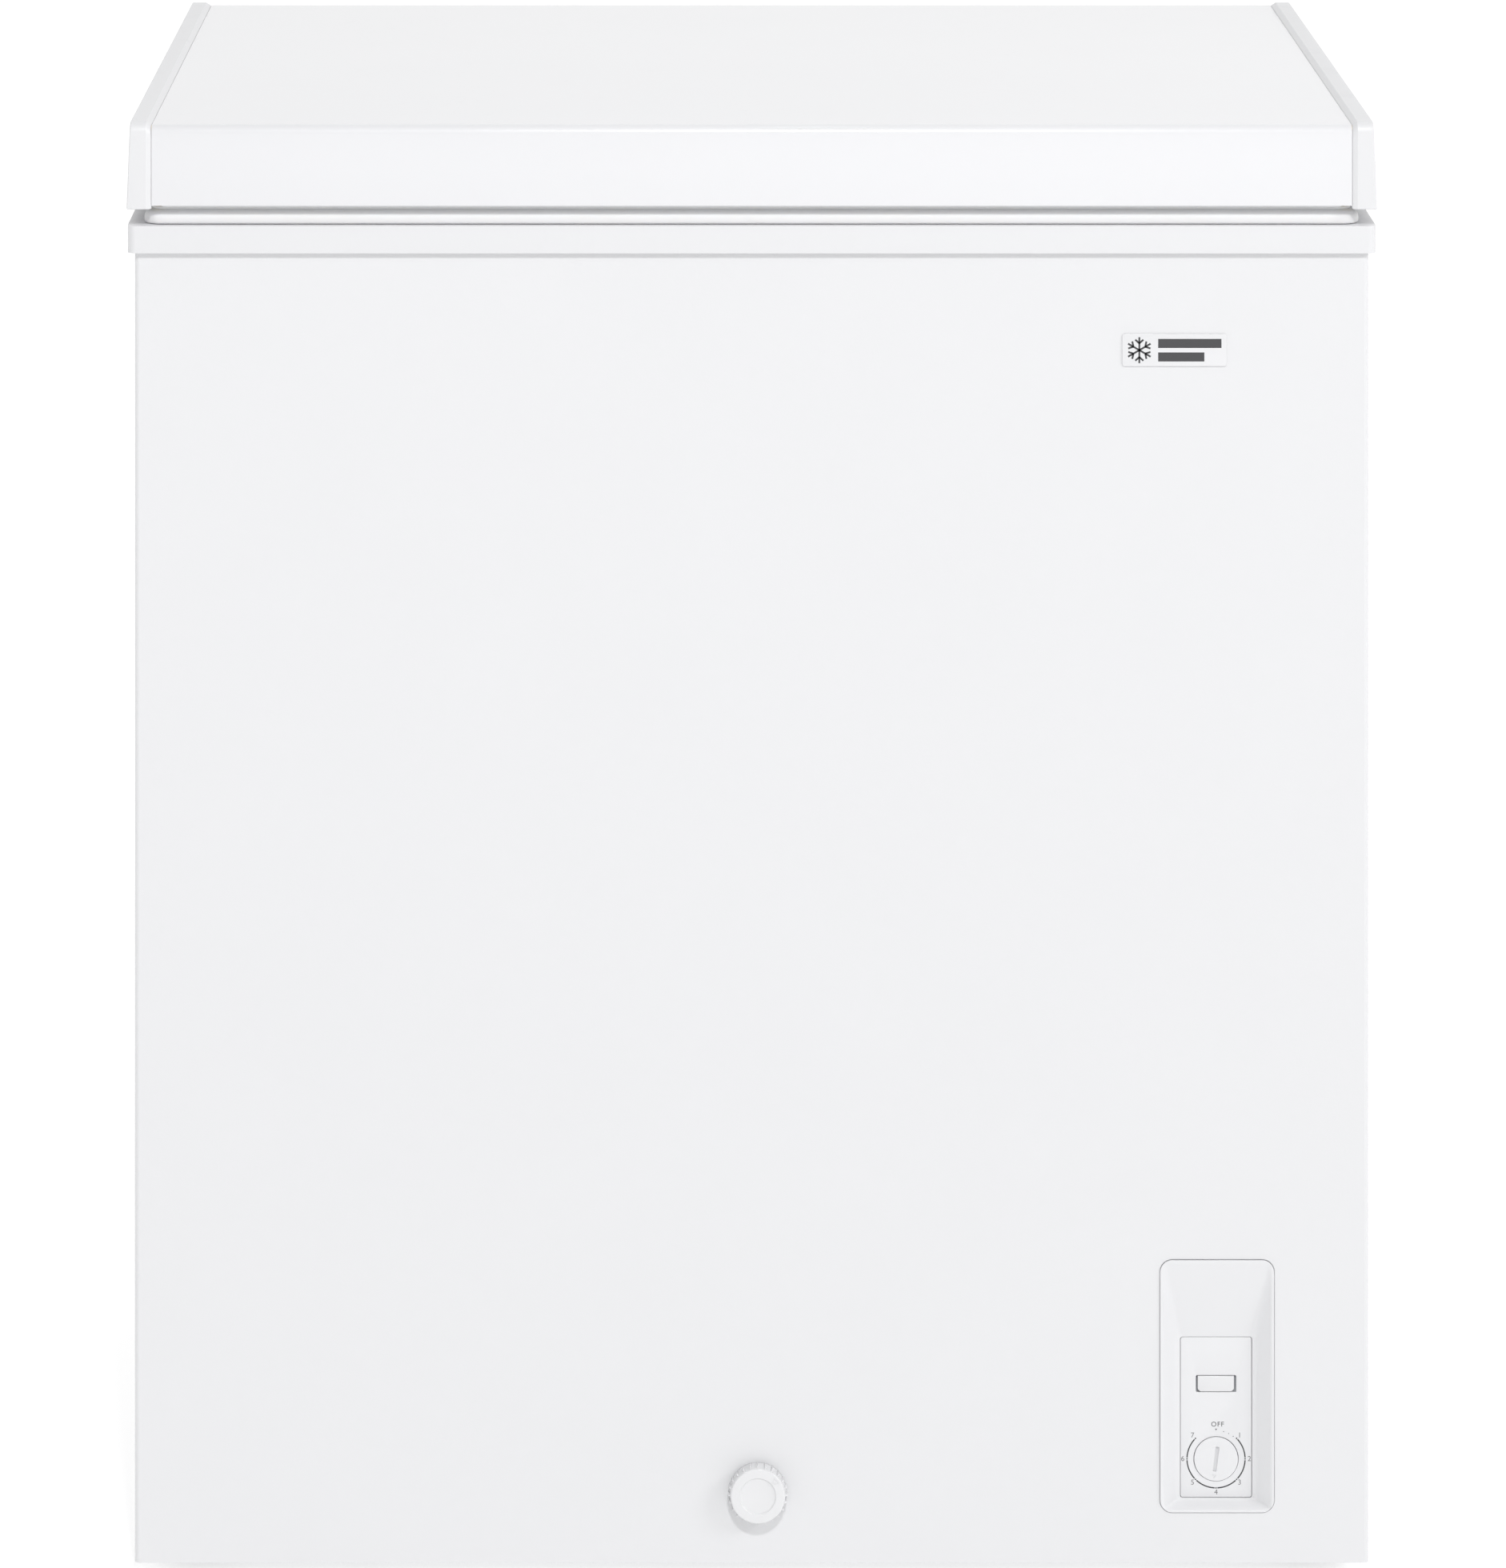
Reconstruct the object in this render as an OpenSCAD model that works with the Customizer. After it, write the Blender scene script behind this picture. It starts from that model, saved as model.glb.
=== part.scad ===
// Chest freezer: insulated cabinet, counterbalanced lid, side machine bay,
// thermostat dial, defrost drain and a sliding basket.
// X runs to the right, Y to the back, Z up; the origin is on the floor below
// the middle of the overall footprint.

/* [Overall] */
// Width over the end caps of the lid
lid_w = 730; // [660:5:880]
// Depth of the lid, front to back
lid_d = 530; // [480:5:640]
// Height of the top of the lid's metal panel
lid_top = 850; // [720:5:1030]
// Gap between the floor and the lower edge of the cabinet
floor_gap = 9; // [7:0.5:14]

/* [Cabinet] */
// Insulation thickness between the outer wrap and the liner
wall = 60; // [48:1:70]
// Thickness of the painted outer wrap
sheet = 1; // [0.8:0.1:1.2]
// Corner radius of the outer wrap
wrap_r = 3; // [2:0.5:6]
// Width of the machine bay at the right
bay_w = 165; // [160:1:200]
// Top of the machine bay above the floor
bay_top = 230; // [228:1:260]
// Height of the plastic frame round the opening
frame_h = 16; // [14:0.5:20]
// Overhang of that frame past the cabinet at front and back
frame_over = 3.5; // [2:0.5:5]
// Radius of the foot pads
foot_r = 18; // [14:0.5:24]

/* [Lid] */
// Height of the lid's metal front edge
lid_h = 47; // [42:1:56]
// Width of each end cap
cap_w = 14.5; // [12:0.5:18]
// Height the end caps stand above the metal panel
cap_proud = 2; // [1:0.5:3]
// Depth of the plug that hangs into the opening
plug_h = 25; // [18:1:26]
// Width of the gasket's sealing band
gasket_w = 14; // [12:0.5:18]

/* [Hinge] */
// Plunger travel for one radian of lid swing
cam_rate = 8; // [6.5:0.1:8.5]
// Distance of the plunger face below the pivot with the lid shut
cam_drop = 19; // [18:0.25:19.5]
// Radius of the hinge pins
pin_r = 3; // [2.5:0.25:3.25]
// Distance of each hinge from the middle
hinge_x = 230; // [200:5:280]

/* [Controls] */
// Distance of the control panel's middle from the right side of the cabinet
panel_in = 88.7; // [80:0.5:100]
// Width of the control bezel
bezel_w = 66.4; // [62:0.2:76]
// Height of the control bezel
bezel_h = 147.3; // [140:0.5:156]
// Radius of the thermostat knob
knob_r = 12.8; // [11:0.05:14]
// Play between the knob and the plate round it
knob_gap = 0.35; // [0.3:0.05:0.5]

/* [Drain and basket] */
// Height of the drain outlet above the floor
drain_z = 51; // [46:1:60]
// Radius of the knurled drain cap
drain_cap_r = 17.3; // [16:0.1:20]
// Radius of the sliding drain spout
spout_r = 10; // [9:0.25:12]
// Play of the running fits, on the radius
run_fit = 0.08; // [0.05:0.01:0.1]
// Gap kept between pieces that move past each other
slip = 0.3; // [0.3:0.05:0.5]
// Width of the basket, side to side
basket_w = 250; // [205:1:290]
// Height of the basket
basket_h = 190; // [150:5:215]

/* [Hidden] */
$fn = 64;
half_y = (lid_d + 16) / 2;
lid_front = -half_y + 5;
lid_back = lid_front + lid_d;
cab_w = lid_w - 8.6;
cab_x = cab_w / 2;
cab_front = lid_front + 5;
cab_back = lid_back - 22;
frame_x = lid_w / 2 - 0.25;
frame_top = lid_top - 59;
frame_bot = frame_top - frame_h;
body_top = frame_bot + 7;
in_x = cab_x - sheet;
in_front = cab_front + sheet;
in_back = cab_back - sheet;
pan_bot = floor_gap + sheet;
pan_top = pan_bot + 1.2;
// liner, outer faces
lin_x = cab_x - wall;
lin_front = cab_front + wall;
lin_back = cab_back - wall;
lin_t = 1;
lin_bot = floor_gap + wall + 15;
lin_floor = lin_bot + lin_t;
bay_x = in_x - bay_w;
step_x = bay_x - wall;
step_z = bay_top + wall;
lin_r = 12;
// opening of the frame
open_x = lin_x - 3.7;
open_front = lin_front + 3;
open_back = lin_back - 3;
mid_y = (open_front + open_back) / 2;
ledge = 12;
ledge_z = frame_top - 6;
// lid
skin_bot = lid_top - lid_h;
cap_bot = skin_bot - 2;
cap_x = lid_w / 2;
skin_x = cap_x - cap_w;
cap_t = 2.5;
fold_r = 5;
plug_x = open_x - 14;
plug_front = open_front + 13;
plug_back = open_back - 15;
plug_bot = cap_bot - plug_h;
panel_t = 2;
gas_x = lid_w / 2 - 9.3;
gas_front = lid_front + 6;
gas_back = cab_back - 2;
gas_mid = cap_bot - 3.5;
// hinge
piv_y = half_y - 6.5;
piv_z = frame_top + 6;
ear_r = 5.5;
chan_w = 26;
chan_t = 2;
chan_bot = frame_top - 91;
plun_top = piv_z - cam_drop - slip;
plun_h = 14;
spring_r = 11;
spring_y = cab_back + 16.5;
swing = 80;
cheek_x = 5;
cheek_t = 3;
// controls
con_x = cab_x - panel_in;
con_z = floor_gap + 103.3;
plate_y = cab_front + 7.5;
plate_t = 2.5;
plate_w = 41.6;
plate_h = 93.8;
plate_z = con_z - 20.8;
knob_z = con_z - 45.2;
lens_z = con_z - 1.2;
lens_w = 23.6;
lens_h = 9.9;
// drain
drain_x = 3.5;
well_y = lin_front + 53;
cap_face = -half_y;
// drain passage
funnel_r = 11;
funnel_rim_r = 20;
funnel_rim_t = 1.5;
outlet_r = 6;
outlet_t = 2;
sock_len = 24;
sock_wall = 4;
sock_flange_r = 22;
sock_flange_t = 2;
// screws of the hinges and the rear cover, and their places
screw_r = 2;
head_r = 4;
head_h = 2;
slot_w = 1;
slot_l = 6;
bracket_dx = [-21, 21];
bracket_dz = [14, 64];
arm_dx = [-19, 19];
arm_dz = [17, 33];
leaf_x = 28;
cover_x = [bay_x + 7, in_x - 7];
cover_z = [40, bay_top - 32];
// cord gland
gland_x = bay_x + 30;
gland_z = 42;
gland_r = 7;
// compressor
com_x = bay_x + 82;
com_y = cab_back - 130;
com_r = 66;
com_z = 36.5;
com_h = 146;
plate_x = 62;
com_plate_y = 82;
com_plate_t = 2.5;
stub_r = 5;
bolt_r = 3;
bolt_dx = [-50, 50];
bolt_dy = [-70, 70];
grommet_r = 9;
grommet_neck_r = 5;
// how far a cut is carried past the face that it opens
past = 1;

// ---- helpers ----
module box(x0, x1, y0, y1, z0, z1) {
  translate([x0, y0, z0]) cube([x1 - x0, y1 - y0, z1 - z0]);
}

// rounded rectangle between two corners
module rr(x0, x1, y0, y1, r) {
  translate([x0 + r, y0]) square([x1 - x0 - 2 * r, y1 - y0]);
  translate([x0, y0 + r]) square([x1 - x0, y1 - y0 - 2 * r]);
  for (x = [x0 + r, x1 - r]) for (y = [y0 + r, y1 - r]) translate([x, y]) circle(r);
}

// rounded slab standing on z0
module slab(x0, x1, y0, y1, z0, z1, r) {
  translate([0, 0, z0]) linear_extrude(z1 - z0) rr(x0, x1, y0, y1, r);
}

// profile in Y and Z swept along X
module along_x(x0, x1) {
  translate([x0, 0, 0]) rotate([90, 0, 90]) linear_extrude(x1 - x0) children();
}

// profile in X and Z swept along Y
module along_y(y0, y1) {
  translate([0, y1, 0]) rotate([90, 0, 0]) linear_extrude(y1 - y0) children();
}

module cyl_y(x, z, y0, y1, r) {
  translate([x, y0, z]) rotate([-90, 0, 0]) cylinder(r = r, h = y1 - y0);
}

module cyl_x(y, z, x0, x1, r) {
  translate([x0, y, z]) rotate([0, 90, 0]) cylinder(r = r, h = x1 - x0);
}

module cyl_z(x, y, z0, z1, r) {
  translate([x, y, z0]) cylinder(r = r, h = z1 - z0);
}

// straight wire or tube from a to b
module rod(a, b, r) {
  v = b - a;
  l = norm(v);
  translate(a) rotate([0, acos(v.z / l), atan2(v.y, v.x)]) cylinder(r = r, h = l, $fn = 32);
}

// bent tube through a list of points, round at each bend
module tube(p, r) {
  for (i = [0:len(p) - 2]) rod(p[i], p[i + 1], r);
  if (len(p) > 2) for (i = [1:len(p) - 2]) translate(p[i]) sphere(r = r, $fn = 32);
}

// ---- cabinet ----
// width of the wrap's turned-in lower edge
hem = 14;

module outer_wrap() {
  color("white") difference() {
    union() {
      difference() {
        slab(-cab_x, cab_x, cab_front, cab_back + 30, floor_gap, body_top, wrap_r);
        slab(-in_x, in_x, in_front, cab_back + 40, floor_gap - 1, body_top + 1, wrap_r - sheet);
      }
      difference() {
        box(-in_x - 0.1, in_x + 0.1, in_front - 0.1, in_back, floor_gap, floor_gap + sheet);
        box(-in_x + hem, in_x - hem, in_front + hem, cab_back + past, floor_gap - past, pan_bot + past);
      }
    }
    box(-cab_x - 1, cab_x + 1, cab_back, cab_back + 50, 0, body_top + 1);
    along_y(cab_front - 5, in_front + 1)
      rr(con_x - bezel_w / 2 - 0.5, con_x + bezel_w / 2 + 0.5,
         con_z - bezel_h / 2 - 0.5, con_z + bezel_h / 2 + 0.5, 7.5);
    cyl_y(drain_x, drain_z, cab_front - 5, in_front + 1, spout_r + sock_wall + 0.2);
  }
}

// lower edge of the bay's vent in the back panel
vent_bot = 28;

module back_panel() {
  color("gainsboro") difference() {
    box(-in_x, in_x, in_back, cab_back, floor_gap, body_top);
    box(bay_x + hem, in_x - hem, in_back - past, cab_back + past, vent_bot, bay_top - 20);
    for (x = cover_x) for (z = cover_z)
      cyl_y(x, z, in_back - past, cab_back + past, screw_r);
    for (s = [-1, 1]) for (dx = bracket_dx) for (dz = bracket_dz)
      cyl_y(s * hinge_x + dx, chan_bot + dz, in_back - past, cab_back + past, screw_r);
  }
}

foot_x = in_x - foot_r - 18;
foot_xy = [[-foot_x, in_front + 44], [foot_x, in_front + 44],
           [-foot_x, in_back - foot_r - 8], [foot_x, in_back - foot_r - 8]];

// stem that holds each foot in the pan
stem_r = 5;
stem_h = 4;
// air slots of the pan
air_n = 7;
air_w = 6;
air_pitch = 16;

module base_pan() {
  color("silver") difference() {
    box(-in_x, in_x, in_front, in_back, pan_bot, pan_top);
    for (p = foot_xy) cyl_z(p.x, p.y, pan_bot - past, pan_top + past, stem_r);
    for (dx = bolt_dx) for (dy = bolt_dy)
      cyl_z(com_x + dx, com_y + dy, pan_bot - past, pan_top + past, bolt_r);
    for (i = [0:air_n - 1])
      box(bay_x + 30, in_x - 30, in_front + 90 + i * air_pitch,
          in_front + 90 + i * air_pitch + air_w, pan_bot - past, pan_top + past);
  }
}

module feet() {
  color("dimgray") for (p = foot_xy) union() {
    cyl_z(p.x, p.y, 0, pan_bot - 2, foot_r - 2);
    cyl_z(p.x, p.y, 2, pan_bot, foot_r);
    cyl_z(p.x, p.y, pan_bot - past, pan_top + stem_h, stem_r);
  }
}

// stepped hollow of the liner grown outward by g
module liner_shape(g, top) {
  intersection() {
    union() {
      box(-lin_x - g, lin_x + g, lin_front - g, lin_back + g, step_z - g, top);
      box(-lin_x - g, step_x + g, lin_front - g, lin_back + g, lin_bot - g, top);
    }
    slab(-lin_x - g, lin_x + g, lin_front - g, lin_back + g, lin_bot - g - 1, top + 1,
         lin_r + g);
  }
}

// evaporator tube, its turns and the reach of its riser grooves
coil_n = 6;
coil_r = 4;
coil_z0 = step_z + 35;
coil_dz = (body_top - 50 - coil_z0) / coil_n;
groove_in = 2;
// condenser tube and its runs
run_n = 8;
run_r = 3;
run_z0 = lin_bot + 40;
run_dz = (body_top - 60 - run_z0) / (run_n - 1);
run_y0 = cab_front + 70;
run_y1 = cab_back - 60;

module cabinet_foam() {
  color("khaki") difference() {
    slab(-in_x, in_x, in_front, in_back + 20, pan_top, body_top, wrap_r - sheet);
    box(-cab_x, cab_x, in_back, in_back + 30, 0, body_top + 1);
    liner_shape(0, body_top + 5);
    box(bay_x - 1, cab_x, cab_front, cab_back, 0, bay_top + 1);
    for (p = foot_xy) cyl_z(p.x, p.y, 0, pan_top + stem_h, stem_r);
    // grooves for the evaporator tube
    difference() {
      for (i = [0:coil_n])
        box(-lin_x - 2 * coil_r, lin_x + 2 * coil_r, lin_front - 2 * coil_r, lin_back + 2 * coil_r,
            coil_z0 + i * coil_dz - coil_r, coil_z0 + i * coil_dz + coil_r);
      box(-lin_x + past, lin_x - past, lin_front + past, lin_back - past, 0, body_top);
    }
    for (i = [0:coil_n - 1])
      box(i % 2 == 0 ? -lin_x - 2 * coil_r : lin_x - groove_in,
          i % 2 == 0 ? -lin_x + groove_in : lin_x + 2 * coil_r,
          lin_back - groove_in, lin_back + 2 * coil_r,
          coil_z0 + i * coil_dz, coil_z0 + (i + 1) * coil_dz);
    // grooves for the condenser tube
    for (i = [0:run_n - 1])
      box(-in_x - past, -in_x + 2 * run_r, run_y0 - run_r, run_y1 + run_r,
          run_z0 + i * run_dz - run_r, run_z0 + i * run_dz + run_r);
    for (i = [0:run_n - 2])
      box(-in_x - past, -in_x + 2 * run_r, i % 2 == 0 ? run_y1 - run_r : run_y0 - run_r,
          i % 2 == 0 ? run_y1 + run_r : run_y0 + run_r,
          run_z0 + i * run_dz, run_z0 + (i + 1) * run_dz);
    // drain passage
    cyl_z(drain_x, well_y, drain_z - outlet_r - outlet_t, lin_bot + past, funnel_r);
    box(drain_x - outlet_r - outlet_t, drain_x + outlet_r + outlet_t, in_front + past, well_y,
        drain_z - outlet_r - outlet_t, drain_z + outlet_r + outlet_t);
    cyl_y(drain_x, drain_z, in_front - past, in_front + sock_flange_t, sock_flange_r);
    cyl_y(drain_x, drain_z, in_front - past, in_front + sock_len, spout_r + sock_wall);
  }
}

module inner_liner() {
  color("whitesmoke") difference() {
    liner_shape(0, body_top);
    liner_shape(-lin_t, body_top + 5);
    cyl_z(drain_x, well_y, lin_bot - past, lin_floor + past, funnel_r);
  }
}

module bay_lining() {
  color("silver") difference() {
    box(bay_x - 1, in_x, in_front, in_back, pan_top, bay_top + 1);
    box(bay_x, in_x + 1, in_front - 1, in_back + 1, pan_top - 1, bay_top);
  }
}

// half width of the frame's notch at each hinge
notch_x = 16;

module top_frame() {
  color("white") difference() {
    slab(-frame_x, frame_x, cab_front - frame_over, cab_back + frame_over,
         frame_bot, frame_top, 5);
    slab(-cab_x, cab_x, cab_front, cab_back + 20, frame_bot - 1, body_top, wrap_r);
    box(-cab_x, cab_x, cab_back, cab_back + frame_over + 1, frame_bot - 1, frame_bot + 2);
    slab(-open_x, open_x, open_front, open_back, frame_bot - 1, frame_top + 1, lin_r);
    slab(-open_x - ledge, open_x + ledge, open_front - ledge, open_back + ledge,
         ledge_z, frame_top + 1, lin_r + ledge);
    for (s = [-1, 1])
      box(s * hinge_x - notch_x, s * hinge_x + notch_x, cab_back, cab_back + frame_over + past,
          frame_bot - past, frame_top + past);
  }
}

// evaporator: one tube folded to and fro round the front and sides of the liner
module evaporator_coil() {
  x = lin_x + coil_r;
  f = lin_front - coil_r;
  b = lin_back + coil_r;
  color("silver") union() {
    for (i = [0:coil_n]) {
      z = coil_z0 + i * coil_dz;
      tube([[x, b, z], [x, f, z], [-x, f, z], [-x, b, z]], coil_r);
      translate([x, b, z]) sphere(r = coil_r, $fn = 32);
      translate([-x, b, z]) sphere(r = coil_r, $fn = 32);
    }
    for (i = [0:coil_n - 1]) {
      c = i % 2 == 0 ? -x : x;
      rod([c, b, coil_z0 + i * coil_dz], [c, b, coil_z0 + (i + 1) * coil_dz], coil_r);
    }
  }
}

// condenser: one tube folded to and fro against the left side of the wrap
module condenser_coil() {
  x = -in_x + run_r;
  color("peru") union() {
    for (i = [0:run_n - 1]) {
      z = run_z0 + i * run_dz;
      rod([x, run_y0, z], [x, run_y1, z], run_r);
      translate([x, run_y0, z]) sphere(r = run_r, $fn = 32);
      translate([x, run_y1, z]) sphere(r = run_r, $fn = 32);
    }
    for (i = [0:run_n - 2]) {
      y = i % 2 == 0 ? run_y1 : run_y0;
      rod([x, y, run_z0 + i * run_dz], [x, y, run_z0 + (i + 1) * run_dz], run_r);
    }
  }
}

// ---- machine bay ----
module compressor_plate() {
  color("dimgray") difference() {
    union() {
      slab(com_x - plate_x, com_x + plate_x, com_y - com_plate_y, com_y + com_plate_y,
           com_z - com_plate_t, com_z, 12);
      for (dx = [-plate_x, plate_x - com_plate_t])
        box(com_x + dx, com_x + dx + com_plate_t, com_y - 60, com_y + 60,
            com_z - com_plate_t, com_z + 6);
    }
    for (dx = bolt_dx) for (dy = bolt_dy)
      cyl_z(com_x + dx, com_y + dy, com_z - 4, com_z + past, grommet_neck_r);
  }
}

stubs = [[12, 30], [-20, -18], [24, -12]];

module compressor_shell() {
  color("#202020") union() {
    translate([com_x, com_y, com_z]) rotate_extrude() polygon([
      [0, 0], [40, 0], [56, 6], [com_r - 3, 18], [com_r - 2, 30], [com_r - 2, 74],
      [com_r + 1, 74], [com_r + 1, 80], [com_r - 3, 80], [com_r - 4, 108],
      [com_r - 12, 128], [com_r - 30, 141], [com_r - 48, com_h], [0, com_h]]);
    for (p = stubs)
      cyl_z(com_x + p.x, com_y + p.y, com_z + 130, com_z + com_h + 6, stub_r);
  }
}

module compressor_grommets() {
  color("#303030") for (dx = bolt_dx) for (dy = bolt_dy) difference() {
    union() {
      cyl_z(com_x + dx, com_y + dy, pan_top, com_z - com_plate_t, grommet_r);
      cyl_z(com_x + dx, com_y + dy, com_z - 3, com_z + past, grommet_neck_r);
      cyl_z(com_x + dx, com_y + dy, com_z, com_z + 4, 7.5);
    }
    cyl_z(com_x + dx, com_y + dy, pan_top - past, com_z + 5, bolt_r);
  }
}

module compressor_bolts() {
  color("silver") for (dx = bolt_dx) for (dy = bolt_dy) union() {
    cyl_z(com_x + dx, com_y + dy, pan_bot, com_z + 10, bolt_r);
    cyl_z(com_x + dx, com_y + dy, com_z + 4, com_z + 5.2, 8);
    translate([com_x + dx, com_y + dy, com_z + 5]) cylinder(r = 5.5, h = 4.5, $fn = 6);
  }
}

module relay_cover() {
  color("#181818") difference() {
    along_y(com_y - com_r - 30, com_y - com_r + 24)
      rr(com_x - 27, com_x + 27, com_z + 26, com_z + 72, 5);
    cyl_z(com_x, com_y, com_z, com_z + 74, com_r - 2);
  }
}

// pipes of the bay: their radii, heights below its roof and ends from the compressor
hot_r = 3;
hot_drop = 16;
hot_y = com_y + 100;
cold_r = 4;
cold_drop = 14;
cold_y = com_y - 60;
ferrule = 2;

module discharge_tube() {
  a = [com_x + stubs[0].x, com_y + stubs[0].y, com_z + com_h + 6];
  color("peru") union() {
    tube([a, [a.x, a.y, bay_top - hot_drop], [a.x, hot_y, bay_top - hot_drop],
          [bay_x + 3, hot_y, bay_top - hot_drop]], hot_r);
    cyl_x(hot_y, bay_top - hot_drop, bay_x, bay_x + 4, hot_r + ferrule);
  }
}

module suction_tube() {
  a = [com_x + stubs[1].x, com_y + stubs[1].y, com_z + com_h + 6];
  color("peru") union() {
    tube([a, [a.x, a.y, bay_top - cold_drop], [a.x, cold_y, bay_top - cold_drop],
          [bay_x + 3, cold_y, bay_top - cold_drop]], cold_r);
    cyl_x(cold_y, bay_top - cold_drop, bay_x, bay_x + 4, cold_r + ferrule);
  }
}

module process_tube() {
  a = [com_x + stubs[2].x, com_y + stubs[2].y, com_z + com_h + 6];
  color("peru") union() {
    rod(a, [a.x, a.y, a.z + 22], hot_r);
    box(a.x - 3.6, a.x + 3.6, a.y - 1, a.y + 1, a.z + 18, a.z + 34);
  }
}

// filter drier, and the capillary that zigzags away from it
drier_x = bay_x + 12;
drier_z = com_z + 154;
drier_r = 8;
drier_y = com_y + 12;
drier_l = 50;
fill_r = 2.5;
cap_bore_y = com_y + 4;
zig_y = 24;
zig_z = 24;

module filter_drier() {
  color("peru") union() {
    cyl_y(drier_x, drier_z, drier_y, drier_y + drier_l, drier_r);
    cyl_y(drier_x, drier_z, drier_y - 8, drier_y + drier_l + 8, 5);
    cyl_y(drier_x, drier_z, drier_y + drier_l + 6, drier_y + drier_l + 18, fill_r);
    tube([[drier_x, drier_y + drier_l + 14, drier_z], [drier_x, drier_y + drier_l + 22, drier_z],
          [bay_x, drier_y + drier_l + 22, drier_z]], fill_r);
  }
}

module capillary_tube() {
  y = cap_bore_y - 16;
  z = drier_z;
  color("peru") tube([[drier_x, cap_bore_y, z], [drier_x, y, z], [drier_x, y, z - zig_z],
    [drier_x, y - zig_y, z - zig_z], [drier_x, y - zig_y, z], [drier_x, y - 2 * zig_y, z],
    [drier_x, y - 2 * zig_y, z - zig_z], [drier_x, y - 3 * zig_y, z - zig_z],
    [drier_x, y - 3 * zig_y, z], [bay_x, y - 3 * zig_y, z]], 1.2);
}

// ---- controls ----
// dial shaft and hub, lamp body and the bezel's raised rim
shaft_r = 3;
hub_r = 6.5;
lamp_r = 4.4;
rim_up = 0.8;
module thermostat_body() {
  color("silver") difference() {
    union() {
      box(con_x - 20, con_x + 20, plate_y + 9, plate_y + 38, knob_z - 17, knob_z + 23);
      cyl_y(con_x, knob_z, plate_y + 4.5, plate_y + 9.5, hub_r + 0.5);
    }
    cyl_y(con_x, knob_z, plate_y + 3, plate_y + 20, shaft_r + run_fit);
  }
}

module indicator_lamp() {
  color("orange") union() {
    cyl_y(con_x, lens_z, plate_y + plate_t, plate_y + 22, lamp_r);
    cyl_y(con_x, lens_z, plate_y + 4.5, plate_y + 7, 6.5);
  }
}

module lamp_lens() {
  color("lightgray") union() {
    along_y(plate_y - 0.5, plate_y + plate_t) rr(con_x - lens_w / 2, con_x + lens_w / 2,
      lens_z - lens_h / 2, lens_z + lens_h / 2, 1);
  }
}

// scooped dish that deepens toward the plate
module dish(w, h, deep) {
  rw = (w * w / 4 + deep * deep) / (2 * deep);
  rh = (h * h / 4 + deep * deep) / (2 * deep);
  intersection() {
    translate([0, deep - rw, 0]) cylinder(r = rw, h = h + 20, center = true, $fn = 128);
    translate([0, deep - rh, 0]) rotate([0, 90, 0])
      cylinder(r = rh, h = w + 20, center = true, $fn = 128);
  }
}

module control_bezel() {
  w = bezel_w / 2;
  h = bezel_h / 2;
  color("white") difference() {
    union() {
      along_y(cab_front - rim_up, plate_y + 4.5) rr(con_x - w, con_x + w, con_z - h, con_z + h, 7);
      along_y(in_front, in_front + 1.5)
        rr(con_x - w - 5, con_x + w + 5, con_z - h - 5, con_z + h + 5, 10);
    }
    translate([con_x, cab_front - rim_up, con_z]) dish(bezel_w - 4, bezel_h - 4, 7.5);
    along_y(cab_front - 3, plate_y + plate_t)
      rr(con_x - plate_w / 2, con_x + plate_w / 2,
         plate_z - plate_h / 2, plate_z + plate_h / 2, 1.5);
    cyl_y(con_x, knob_z, plate_y, plate_y + 6, 10);
    cyl_y(con_x, lens_z, plate_y, plate_y + 6, lamp_r);
  }
}

module control_plate() {
  color("white") difference() {
    along_y(plate_y, plate_y + plate_t)
      rr(con_x - plate_w / 2, con_x + plate_w / 2,
         plate_z - plate_h / 2, plate_z + plate_h / 2, 1.5);
    cyl_y(con_x, knob_z, plate_y - 1, plate_y + plate_t + 1, knob_r + knob_gap);
    along_y(plate_y - 1, plate_y + plate_t + 1)
      rr(con_x - lens_w / 2, con_x + lens_w / 2,
         lens_z - lens_h / 2, lens_z + lens_h / 2, 1);
  }
}

// dial with a coin slot, turned to about the middle setting
dial_rest = 187;

module thermostat_knob() {
  color("white") difference() {
    union() {
      cyl_y(con_x, knob_z, plate_y - 0.4, plate_y + 2, knob_r);
      cyl_y(con_x, knob_z, plate_y + 1, plate_y + 4.2, hub_r);
    }
    translate([con_x, plate_y - 1, knob_z]) rotate([0, dial_rest, 0])
      translate([-1.1, 0, -7.5]) cube([2.2, 1.9, 15]);
    cyl_y(con_x, knob_z, plate_y + 2.4, plate_y + 5, shaft_r);
  }
}

module thermostat_shaft() {
  color("silver") cyl_y(con_x, knob_z, plate_y + 2.4, plate_y + 18, shaft_r);
}

// plain badge near the top right
badge_w = 61;
badge_h = 19;
badge_in = 83.2;
badge_down = 63.5;

module nameplate() {
  color("dimgray") along_y(cab_front - rim_up, cab_front)
    rr(cab_x - badge_in - badge_w, cab_x - badge_in, frame_top - badge_down - badge_h,
       frame_top - badge_down, 1.5);
}

// ---- rear cover ----
// louvre slots, in two columns
louvre_n = 9;
louvre_x = bay_x + 24;
louvre_z = 66;
louvre_w = 54;
louvre_h = 5;
louvre_step = 62;
louvre_pitch = 14;
cover_t = 1.5;

module rear_grille() {
  color("dimgray") difference() {
    along_y(cab_back, cab_back + cover_t) rr(bay_x + 2, in_x - 2, 20, bay_top - 8, 5);
    for (i = [0:louvre_n - 1]) for (s = [0, 1])
      along_y(cab_back - past, cab_back + 3)
        rr(louvre_x + s * louvre_step, louvre_x + s * louvre_step + louvre_w,
           louvre_z + i * louvre_pitch, louvre_z + i * louvre_pitch + louvre_h, 2.4);
    for (x = cover_x) for (z = cover_z)
      cyl_y(x, z, cab_back - past, cab_back + 3, screw_r);
    cyl_y(gland_x, gland_z, cab_back - past, cab_back + 3, gland_r);
  }
}

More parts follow.
